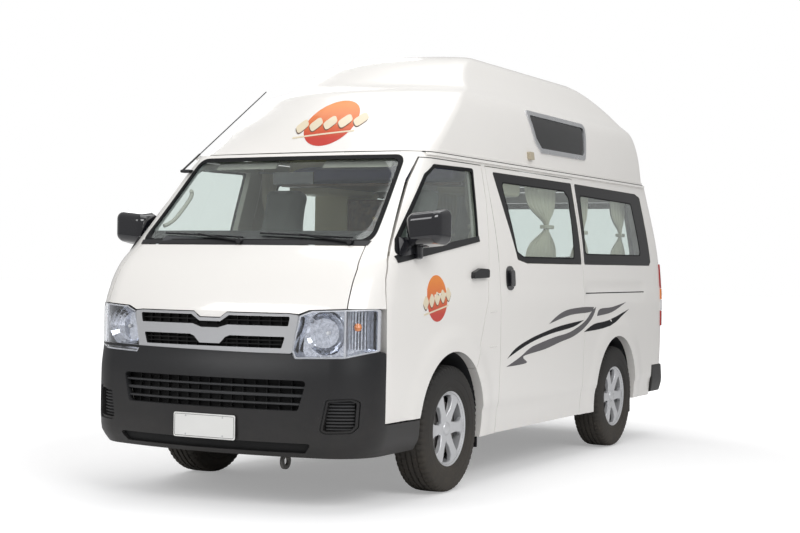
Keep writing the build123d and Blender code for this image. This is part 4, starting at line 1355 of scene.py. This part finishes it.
    @staticmethod
    def make_liner(side, word, centre):
        """Dark inner wheel house: a curved liner with a flat inner wall."""
        def arc(radius, turns):
            return [(centre + AXLE_Y + radius * math.cos(math.radians(a)),
                     ARCH_Z / 1000 + radius * math.sin(math.radians(a))) for a in turns]

        there, back = range(-10, 191, 5), range(190, -11, -5)
        inner_x = 0.420 if "front" in word else 0.588
        lining = plate(f"{word}_liner", arc(0.397, there) + arc(0.405, back), side * (0.800 - inner_x), "YZ",
                       side * inner_x)
        wall = plate(f"{word}_liner_wall", arc(0.40, there), side * 0.004, "YZ", side * (inner_x - 0.002))
        trim(joined(f"{word}_arch_liner", [lining, wall]), "grained_trim")

    @staticmethod
    def make_flap(side, word, back):
        """A mud flap hanging behind the wheel, with a folded outer edge."""
        flap = fitted(f"{word}_flap", across(side, 0.622, 0.790), (back - 0.004, back + 0.004), (0.20, 0.56), 0.003)
        fold = fitted("fold", across(side, 0.775, 0.795), (back - 0.016, back + 0.004), (0.20, 0.56), 0.003)
        trim(joined(f"{word}_mud_flap", [flap, fold]), "seal", ["mud_flaps"])


# Stripes on the left side as y, z: the upper edge, then the lower edge on the way back.
DARK_BLADE = ([(688, 678), (771, 720), (871, 751), (1019, 781), (1172, 805), (1493, 844), (1907, 871)],
              [(1714, 832), (1331, 800), (1020, 757), (758, 698), (688, 678)])
SWOOSH = ([(678, 633), (877, 681), (1022, 727), (1174, 751), (1413, 779), (1630, 797), (1802, 829), (1943, 870),
           (2050, 926), (2123, 951)],
          [(2087, 906), (2015, 862), (1873, 808), (1699, 769), (1497, 745), (1257, 712), (965, 689), (922, 673),
           (969, 641), (678, 633)])
CRESCENT = ([(1313, 861), (1425, 901), (1541, 930), (1676, 946), (1904, 954), (2086, 951)],
            [(2013, 920), (1660, 908), (1313, 861)])
GREY_BLADE = ([(2144, 891), (2198, 936), (2429, 945), (2710, 975)], [(2430, 912), (2144, 891)])
DARK_END = ([(1909, 794), (2090, 840), (2373, 860), (2773, 926)], [(2375, 820), (1909, 794)])
STRIPES = [("dark_blade", DARK_BLADE, "stripe_dark"), ("swoosh", SWOOSH, "stripe_grey"),
           ("crescent", CRESCENT, "stripe_grey"), ("grey_blade", GREY_BLADE, "stripe_grey"),
           ("dark_end", DARK_END, "stripe_dark")]


def stripe_outline(edges):
    """Both edges of a stripe made smooth and closed."""
    upper, lower = edges
    return flowing(upper, 4)[:-1] + flowing([upper[-1], *lower], 4)[:-1]


def disc_outline(centre, wide, tall, parts=48):
    """An ellipse, as points along and up."""
    return [(centre[0] + wide * math.cos(math.tau * k / parts), centre[1] + tall * math.sin(math.tau * k / parts))
            for k in range(parts)]


def decal(name, centre, wide, tall, body, slant, **form):
    """A round sunset badge with a slanted row of cream petals across it, and a thin line under them."""
    disc = shell(f"{name}_disc", disc_outline(centre, wide, tall), inset=(-0.0012, 0.0005), **form)
    fade = disc.data.attributes.new("fade", "FLOAT", "POINT")
    low, high = (centre[1] - tall) / 1000, (centre[1] + tall) / 1000
    for i, v in enumerate(disc.data.vertices):
        fade.data[i].value = (v.co.z - low) / (high - low)
    dress(disc, "decal_disc", body, smooth=0)
    petals, shadows = [], []
    for k in range(5):
        along = (k - 2) * wide * 0.56
        x, z = centre[0] + along, centre[1] + along * slant
        half, high = wide * 0.29, tall * 0.36
        for made, drop, depth in ((shadows, tall * 0.05, -0.0016), (petals, 0, -0.0021)):
            shape = [(x, z - high - drop), (x + half, z - drop + half * slant), (x, z + high - drop),
                     (x - half, z - drop - half * slant)]
            made.append(shell(f"petal_{k}", rounded(shape, half * 0.5, 4), inset=(depth, 0.0004), **form))
    dress(joined(f"{name}_petals", petals), "decal_cream", body, smooth=0)
    dress(joined(f"{name}_petal_shadows", shadows), "board", body, smooth=0)
    before, after = wide * 1.3, wide * 1.1
    low, thick = centre[1] - tall * 0.52, tall * 0.07
    line = [(centre[0] - before, low - before * slant), (centre[0] + after, low + after * slant),
            (centre[0] + after, low + after * slant + thick), (centre[0] - before, low - before * slant + thick)]
    clad(f"{name}_line", line, "decal_cream", "paint", body, smooth=0, inset=(-0.0018, 0.0004), **form)


class VAN_OT_sides(bpy.types.Operator):
    """Stripes, badges, handles, mirrors, gutters, the rail slot's painted shade and lamps on the sides"""

    bl_idname = "van.sides"
    bl_label = "Side fittings"

    def execute(self, context):
        for side, word in SIDES:
            for name, edges, finish in STRIPES:
                clad(f"{word}_{name}", stripe_outline(edges), finish, "paint", smooth=0, side=side,
                     inset=(-0.0009, 0.0005), gap=40)
            decal(f"{word}_door_badge", (-225, 1035), 118, 121, f"{word}_door", 0.16, side=side)
            self.handles(side, word)
            self.mirror(side, word)
            clad(f"{word}_gutter", oblong((-140, 3328), (1789, 1804)), "paint", "paint", stands_for=["drip_rails"],
                 side=side, inset=(-0.015, 0.0), edge=0.003)
            clad(f"{word}_gutter_joint", oblong((-150, 3328), (1804, 1810)), "seal", "dark_trim", side=side,
                 inset=(-0.004, 0.004), edge=0.001)
            if side == LEFT:
                # A black strip on the surface: painted shade in the sliding door's rail slot.
                clad("left_rail_slot_painted_shade", oblong((1945, 3090), (1038, 1045)), "deep_black", "dark_trim", smooth=0,
                     inset=(-0.0004, 0.001))
            marks = [strip(f"mark_{z}", (442, 538), (z, z + 7), (-0.003, 0.002), 0.002, side=side)
                     for z in (950, 754)]
            trim(joined(f"{word}_hinge_marks", marks), "paint")
            for part, low, high, finish in (("red", 1065, 1238, "lamp_red"), ("amber", 985, 1062, "amber"),
                                            ("white", 905, 982, "lamp_white"), ("foot", 794, 902, "lamp_red")):
                outline = [("rear", 742, low), ("side", 3454, low), ("side", 3454, high), ("rear", 742, high)]
                lamp = shell(f"{word}_tail_{part}", outline, view="rear", inset=(-0.010, 0.02), edge=0.003)
                trim(lamp if side == LEFT else self.swapped(lamp), finish, ["tail_lamps"])
        decal("nose_badge", (95, 1985), 150, 138, "van_body", 0.10, hull=TOP_HULL, view="front")
        self.antenna()
        return {"FINISHED"}

    @staticmethod
    def swapped(obj):
        """The piece on the other side."""
        other = copy_of(obj, obj.name + "_right", Matrix.Scale(-1, 4, (1, 0, 0)))
        bpy.data.objects.remove(obj, do_unlink=True)
        return other

    @staticmethod
    def handles(side, word):
        """The door's pull handle, and the sliding door's upright one on the left."""
        grip = rounded([(200, 1137), (405, 1143), (412, 1190), (300, 1194), (212, 1172)], 16)
        clad(f"{word}_door_grip", grip, "dark_trim", "dark_trim", f"{word}_door", side=side,
             inset=(-0.024, 0.002), edge=0.007)
        if side == LEFT:
            bezel = shell("sliding_bezel", rounded(oblong((678, 792), (1070, 1210)), 55, 8), inset=(-0.006, 0.002),
                          edge=0.003)
            pull = shell("sliding_pull", rounded(oblong((706, 764), (1092, 1188)), 22, 6), inset=(-0.024, -0.002),
                         edge=0.006)
            trim(joined("sliding_door_handle", [bezel, pull]), "gloss_black")

    @staticmethod
    def mirror(side, word):
        """A rounded housing on a short arm, with its glass facing back."""
        body = f"{word}_door"
        middle = Vector((side * 0.907, -0.440 + AXLE_Y, 1.392))
        housing = box(f"{word}_mirror_housing", (-0.112, 0.112), (-0.110, 0.05), (-0.094, 0.094), 0.046, 6)
        for v in housing.data.vertices:
            if v.co.y < 0:
                pull = 1 - 0.18 * min(1, -v.co.y / 0.110)
                v.co.x *= pull
                v.co.z *= pull
            v.co.z += 0.010 * v.co.x / 0.1 * side
        housing.data.transform(Matrix.Translation(middle))
        arm = fitted("arm", across(side, 0.835, 0.872), (-0.484, -0.440), (1.235, 1.33), 0.012)
        joint = fitted("joint", across(side, 0.835, 0.91), (-0.486, -0.440), (1.295, 1.335), 0.012)
        dress(joined(f"{word}_mirror_body", [housing, arm, joint]), "gloss_black", body,
              [f"{word}_mirror"])
        foot = rounded([(-628, 1246), (-430, 1268), (-430, 1345), (-575, 1345)], 12)
        clad(f"{word}_mirror_foot", foot, "gloss_black", "gloss_black", body, side=side, inset=(-0.016, 0.004),
             edge=0.004)
        glass = box(f"{word}_mirror_glass", (-0.084, 0.084), (0.0, 0.004), (-0.072, 0.072), 0.0015)
        glass.data.transform(Matrix.Translation(middle + Vector((0, 0.0485, 0))))
        dress(glass, "chrome", body)

    @staticmethod
    def antenna():
        """A thin whip raked back from a bracket on the right pillar."""
        start = Vector((-0.712, -0.312 + AXLE_Y, 1.720))
        way = Vector((-0.0284, 0.8597, 0.51)).normalized()
        whip = tube("whip", [start, start + way * 0.5, start + way * 1.048], 0.0032, 8)
        mast = tube("mast", [start, start + way * 0.1, start + way * 0.2], 0.0055, 10)
        bracket = fitted("bracket", (-0.726, -0.664), (-0.320, -0.270), (1.706, 1.724), 0.006)
        trim(joined("antenna_whip", [whip, mast, bracket]), "dark_trim", ["antenna"])


def padding(name, outline, thickness, tilt, place, voxel, reach=0.024, edge=0.03):
    """A stuffed pad: an outline of x, z in metres, blown up with cloth, leant back and put in place."""
    pad = plate(name, outline, thickness, "XZ", -thickness / 2)
    bevel(pad, edge, 4, 0.7)
    add_modifier(pad, "REMESH", mode="VOXEL", voxel_size=voxel * 1, use_smooth_shade=True)
    swell(pad, reach)
    add_modifier(pad, "SUBSURF", levels=1)
    pad.data.transform(Matrix.Translation(place) @ Matrix.Rotation(tilt, 4, "X"))
    return pad


def swell(pad, reach, frames=20):
    """Blows the pad up with cloth pressure. No point moves further than reach."""
    scene = bpy.context.scene
    only(pad)
    start = [v.co.copy() for v in pad.data.vertices]
    cloth = pad.modifiers.new("Cloth", "CLOTH")
    cloth.settings.use_pressure = True
    cloth.settings.uniform_pressure_force = 4
    cloth.settings.effector_weights.gravity = 0
    for number in range(1, frames + 1):
        scene.frame_set(number)
    graph = bpy.context.evaluated_depsgraph_get()
    moved = [v.co.copy() for v in pad.evaluated_get(graph).data.vertices]
    pad.modifiers.remove(cloth)
    for v, old, new in zip(pad.data.vertices, start, moved):
        way = new - old
        v.co = old + way * min(1, reach / max(way.length, 1e-6))
    scene.frame_set(1)


def curtain(name, side, y, tie, folds):
    """A gathered curtain on the rail, drawn in by a tie and hanging free below it."""
    columns, rows = folds * 8, 26
    bpy.ops.object.select_all(action="DESELECT")
    bpy.ops.mesh.primitive_grid_add(x_subdivisions=columns, y_subdivisions=rows, size=1)
    cloth = bpy.context.active_object
    cloth.name = cloth.data.name = name
    top, foot = 1.744, 1.165
    tie_y = y[0] + (y[1] - y[0]) * 0.72
    for v in cloth.data.vertices:
        t, drop = v.co.x + 0.5, 0.5 - v.co.y
        z = top + (foot - top) * drop
        pinch = math.exp(-((z - tie) / 0.085) ** 2)
        near = 1 - 0.80 * pinch - 0.12 * step(drop, 0.0, 0.5)
        along = y[0] + (y[1] - y[0]) * t
        along = tie_y + (along - tie_y) * near
        fold = math.sin(t * folds * math.tau + 0.9 * math.sin(drop * 4 + t * 5))
        depth = 0.016 * (1 - 0.45 * pinch) * (0.6 + 0.4 * drop)
        v.co = Vector((side * (0.672 + depth * fold), along + AXLE_Y, z))
    add_modifier(cloth, "SOLIDIFY", thickness=0.0012, offset=0)
    dress(cloth, "curtain_cloth", "van_body", ["curtains"], smooth=80)
    wide = (y[1] - y[0]) * 0.13
    band = box(f"{name}_tie", across(side, 0.650, 0.694), (tie_y - wide + AXLE_Y, tie_y + wide + AXLE_Y),
               (tie - 0.012, tie + 0.012), 0.006)
    trim(band, "curtain_cloth")


class VAN_OT_inside(bpy.types.Operator):
    """Seats, cushions, curtains, cupboards and the cab's fittings"""

    bl_idname = "van.inside"
    bl_label = "Inside"

    def execute(self, context):
        for side, word in SIDES:
            self.seat(side, word)
            self.cushion(f"{word}_bed_cushion", 0.352, 0.63, 0.03, 0.085, (side * 0.368, 2.73 + AXLE_Y, 0.875),
                         0.026, ["bed_cushions"])
            for number, (y, tie, folds, width) in enumerate(CURTAINS):
                curtain(f"{word}_curtain_{number}", side, y, tie, folds)
        self.cupboards()
        self.cab()
        return {"FINISHED"}

    @staticmethod
    def cushion(name, half, long, corner, thick, place, voxel, stands_for=()):
        """A flat cushion lying on its board."""
        shape = rounded(oblong((-half, half), (-long, long)), corner)
        pad = padding(name, shape, thick, math.radians(90), place, voxel, 0.018)
        trim(pad, "violet_cloth", stands_for)

    @staticmethod
    def seat(side, word):
        """A cab seat: padded base and high back on a plain stand."""
        middle = side * 0.43
        base = rounded(oblong((-0.225, 0.225), (-0.235, 0.235)), 0.06)
        seat = padding(f"{word}_seat_base", base, 0.105, math.radians(86), (middle, -0.085 + AXLE_Y, 0.945), 0.013)
        back = rounded([(-0.225, -0.37), (0.225, -0.37), (0.215, -0.06), (0.15, 0.05), (0.125, 0.30), (-0.125, 0.30),
                        (-0.15, 0.05), (-0.215, -0.06)], 0.05)
        rest = padding(f"{word}_seat_back", back, 0.10, math.radians(-14), (middle, 0.285 + AXLE_Y, 1.36), 0.013)
        for pad, fill in ((seat, 0.75), (rest, 0.7)):
            dress(pad, "seat_cloth", "van_body", ["front_seats"])
        stand = fitted(f"{word}_seat_stand", (middle - 0.21, middle + 0.21), (-0.29, 0.13), (0.862, 0.895), 0.008)
        trim(stand, "cab_plastic")

    def cupboards(self):
        """The low brown unit with worktop and doors, the cream wardrobe and the overhead lockers."""
        trim(fitted("kitchen_unit", (-0.676, -0.335), (0.765, 1.975), (0.602, 1.150), 0.004), "board",
             ["cabinets"])
        trim(fitted("kitchen_worktop", (-0.678, -0.326), (0.760, 1.980), (1.150, 1.178), 0.008), "cupboard")
        starts = [0.39 * k for k in range(3)]
        doors = [fitted(f"door_{k}", (-0.337, -0.3305), (0.79 + start, 1.16 + start), (0.64, 1.12), 0.003)
                 for k, start in enumerate(starts)]
        trim(joined("kitchen_doors", doors), "cupboard")
        profile = [(0.0, 0.0), (0.0, 0.006), (0.012, 0.006), (0.014, 0.013), (0.020, 0.013), (0.022, 0.0)]
        knobs = [lathe(f"knob_{k}", profile, 20, "X", (-0.331, 0.83 + start + AXLE_Y, 1.06))
                 for k, start in enumerate(starts)]
        trim(joined("kitchen_knobs", knobs), "brass")
        for side, word in SIDES:
            trim(fitted(f"{word}_overhead_locker", across(side, 0.36, 0.655), (0.72, 1.30), (1.63, 1.90), 0.025, 4),
                 "cupboard")
        trim(fitted("wardrobe", (-0.640, -0.402), (1.02, 1.42), (1.179, 1.66), 0.006), "cupboard")
        trim(fitted("brown_locker", (-0.400, -0.060), (1.02, 1.42), (0.602, 1.61), 0.006), "board")
        knob = lathe("brown_locker_knob", [(-a, r) for a, r in profile], 20, "Y", (-0.20, 1.02 + AXLE_Y, 1.49))
        trim(knob, "brass")
        trim(fitted("over_cab_bed_board", (-0.60, 0.60), (0.55, 1.22), (1.668, 1.684), 0.004), "board")
        self.cushion("over_cab_cushion", 0.57, 0.33, 0.05, 0.08, (0, 0.885 + AXLE_Y, 1.736), 0.024)

    @staticmethod
    def cab():
        """Sun visors, instrument hood, steering wheel with its column, and the pillar grab handle."""
        slot = "cab_plastic"
        for side, word in SIDES:
            clad(f"{word}_visor", oblong(across(side, 150, 560), (1722, 1768)), "inner_trim", slot, view="front",
                 inset=(0.075, 0.092), edge=0.006)
        trim(fitted("instrument_hood", (-0.60, -0.14), (-0.735, -0.56), (1.12, 1.345), 0.07, 6), slot)
        ring = [(0.016 * math.cos(math.tau * k / 12), 0.190 + 0.016 * math.sin(math.tau * k / 12))
                for k in range(12)]
        wheel = lathe("steering_rim", ring, 64, "Z")
        hub = lathe("hub", [(-0.035, 0.0), (-0.03, 0.07), (0.012, 0.085), (0.03, 0.06), (0.035, 0.0)], 40, "Z")
        arms = [box("arm", (-0.185, 0.185), (-0.018, 0.018), (-0.008, 0.010), 0.006),
                box("foot", (-0.022, 0.022), (-0.185, 0.0), (-0.008, 0.010), 0.006)]
        steering = joined("steering_wheel_rim", [wheel, hub, *arms])
        steering.data.transform(Matrix.Translation((-0.37, -0.485 + AXLE_Y, 1.215)) @ Matrix.Rotation(0.83, 4, "X"))
        trim(steering, slot, ["steering_wheel"])
        column = [(-0.37, y + AXLE_Y, z) for y, z in ((-0.485, 1.21), (-0.58, 1.12), (-0.68, 1.02))]
        trim(tube("steering_column", column, 0.035, 16), slot)
        line = [front_point(*p) for p in ((-0.675, 1.40, 0.05), (-0.668, 1.415, 0.085), (-0.652, 1.50, 0.09),
                                          (-0.636, 1.585, 0.085), (-0.63, 1.60, 0.05))]
        trim(tube("grab_handle", line, 0.011, 12), "inner_trim")


# Each curtain's ends along the van, the height of its tie, its folds and its flat width.
CURTAINS = [((0.455, 0.600), 1.43, 4, 0.42), ((1.30, 1.84), 1.46, 8, 0.98), ((2.06, 2.42), 1.44, 6, 0.72),
            ((2.82, 3.16), 1.44, 6, 0.70)]


class VAN_OT_stage(bpy.types.Operator):
    """Floor, backdrop, soft lights and the camera"""

    bl_idname = "van.stage"
    bl_label = "Stage and camera"

    def execute(self, context):
        scene = context.scene
        scene.view_settings.view_transform = "Standard"
        self.make_floor()
        self.make_world(scene)
        for name, place, target, wide, tall, power in (
                ("key_panel", (6.5, -5.5, 5.6), (0, 0, 0.9), 5.0, 3.6, 330),
                ("front_panel_light", (-2.5, -8.0, 4.2), (0, -1.5, 1.0), 4.0, 3.0, 150),
                ("top_panel", (0.5, 0.5, 7.0), (0, 0, 1.5), 6.0, 6.0, 190),
                ("back_panel", (-5.0, 5.0, 4.5), (0, 0, 1.2), 4.0, 3.0, 120)):
            self.add_light(name, place, target, wide, tall, power)
        self.make_camera(scene)
        return {"FINISHED"}

    @staticmethod
    def make_floor():
        """A white floor that glows more the further out it is, so that it meets the backdrop."""
        bpy.ops.object.select_all(action="DESELECT")
        bpy.ops.mesh.primitive_plane_add(size=120, location=(0, 0, -0.0005))
        floor = bpy.context.active_object
        floor.name = "studio_floor"
        settle(floor)
        tree, shader = start_material("studio_floor", Base_Color=(0.78, 0.78, 0.785, 1), Roughness=0.9,
                                      Specular_IOR_Level=0.1)
        reach = node(tree, "VectorMath", {0: object_coords(tree)}, operation="LENGTH")
        fade = node(tree, "MapRange", {"From Min": 2.4, "From Max": 6.5, "To Min": 0.30, "To Max": 0.85,
                                       "Value": reach.outputs["Value"]})
        strength = maths(tree, "MULTIPLY", either_ray(tree, "Camera", "Transmission"), fade.outputs["Result"])
        glow = node(tree, "Emission", {"Strength": strength})
        total = node(tree, "AddShader", {0: shader.outputs["BSDF"], 1: glow.outputs["Emission"]})
        feed(tree, tree.nodes["Material Output"], {"Surface": total.outputs["Shader"]})
        floor.data.materials.append(MATERIALS["studio_floor"])
        floor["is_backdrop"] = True

    @staticmethod
    def make_world(scene):
        """A backdrop that is seen white and lights the van less strongly."""
        scene.world = bpy.data.worlds.new("studio")
        scene.world.use_nodes = True
        tree = scene.world.node_tree
        strength = node(tree, "MapRange", {"To Min": 0.42, "To Max": 1.0,
                                           "Value": either_ray(tree, "Camera", "Transmission")})
        feed(tree, tree.nodes["Background"], {"Color": (1, 1, 1, 1), "Strength": strength.outputs["Result"]})

    @staticmethod
    def add_light(name, place, target, wide, tall, power):
        """A rectangular light that looks at the target."""
        data = bpy.data.lights.new(name, "AREA")
        data.shape = "RECTANGLE"
        data.size, data.size_y, data.energy = wide, tall, power
        light = bpy.data.objects.new(name, data)
        light.location = place
        light.rotation_euler = (Vector(target) - Vector(place)).to_track_quat("-Z", "Y").to_euler()
        bpy.context.scene.collection.objects.link(light)

    @staticmethod
    def make_camera(scene):
        """The camera that was solved from the photograph. Its angles are in radians."""
        yaw, pitch, roll = 0.4837, -0.0016, 0.0142
        ahead = Vector((-math.sin(yaw) * math.cos(pitch), math.cos(yaw) * math.cos(pitch), math.sin(pitch)))
        right = Vector((math.cos(yaw), math.sin(yaw), 0))
        up = right.cross(ahead)
        side = right * math.cos(roll) + up * math.sin(roll)
        top = up * math.cos(roll) - right * math.sin(roll)
        data = bpy.data.cameras.new("camera")
        data.sensor_width = 36
        data.lens = 69.77
        data.shift_x = 0.0053
        data.shift_y = 0.0019
        camera = bpy.data.objects.new("camera", data)
        turn = Matrix((side, top, -ahead)).transposed().to_4x4()
        camera.matrix_world = Matrix.Translation((4.3942, -8.6957, 1.2027)) @ turn
        scene.collection.objects.link(camera)
        scene.camera = camera


CLASSES = [VanSizes, VanColours, VAN_OT_materials, VAN_OT_panels, VAN_OT_glass, VAN_OT_high_top, VAN_OT_bumper,
           VAN_OT_face, VAN_OT_wheels, VAN_OT_sides, VAN_OT_inside, VAN_OT_stage]
STEPS = ["materials", "panels", "glass", "high_top", "bumper", "face", "wheels", "sides", "inside", "stage"]


class VAN_PT_pieces(bpy.types.Panel):
    """Lists the van's sizes, colours and pieces in the sidebar"""

    bl_idname = "VAN_PT_pieces"
    bl_label = "Camper van"
    bl_space_type = "VIEW_3D"
    bl_region_type = "UI"
    bl_category = "Camper"

    def draw(self, context):
        column = self.layout.column()
        for name in VanSizes.__annotations__:
            column.prop(context.scene.van_sizes, name)
        for name in VanColours.__annotations__:
            column.prop(context.scene.van_colours, name)
        for name in STEPS:
            column.operator(f"van.{name}")


def register():
    for cls in CLASSES + [VAN_PT_pieces]:
        bpy.utils.register_class(cls)
    bpy.types.Scene.van_sizes = PointerProperty(type=VanSizes)
    bpy.types.Scene.van_colours = PointerProperty(type=VanColours)


def unregister():
    del bpy.types.Scene.van_colours
    del bpy.types.Scene.van_sizes
    for cls in reversed(CLASSES + [VAN_PT_pieces]):
        bpy.utils.unregister_class(cls)


def main():
    register()
    for name in STEPS:
        getattr(bpy.ops.van, name)()
    plain = lambda bounds: [[round(float(v), 5) for v in corner] for corner in bounds]
    {"cad": plain(CAD_BOX), "visual": plain(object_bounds())}


if __name__ == "__main__":
    main()
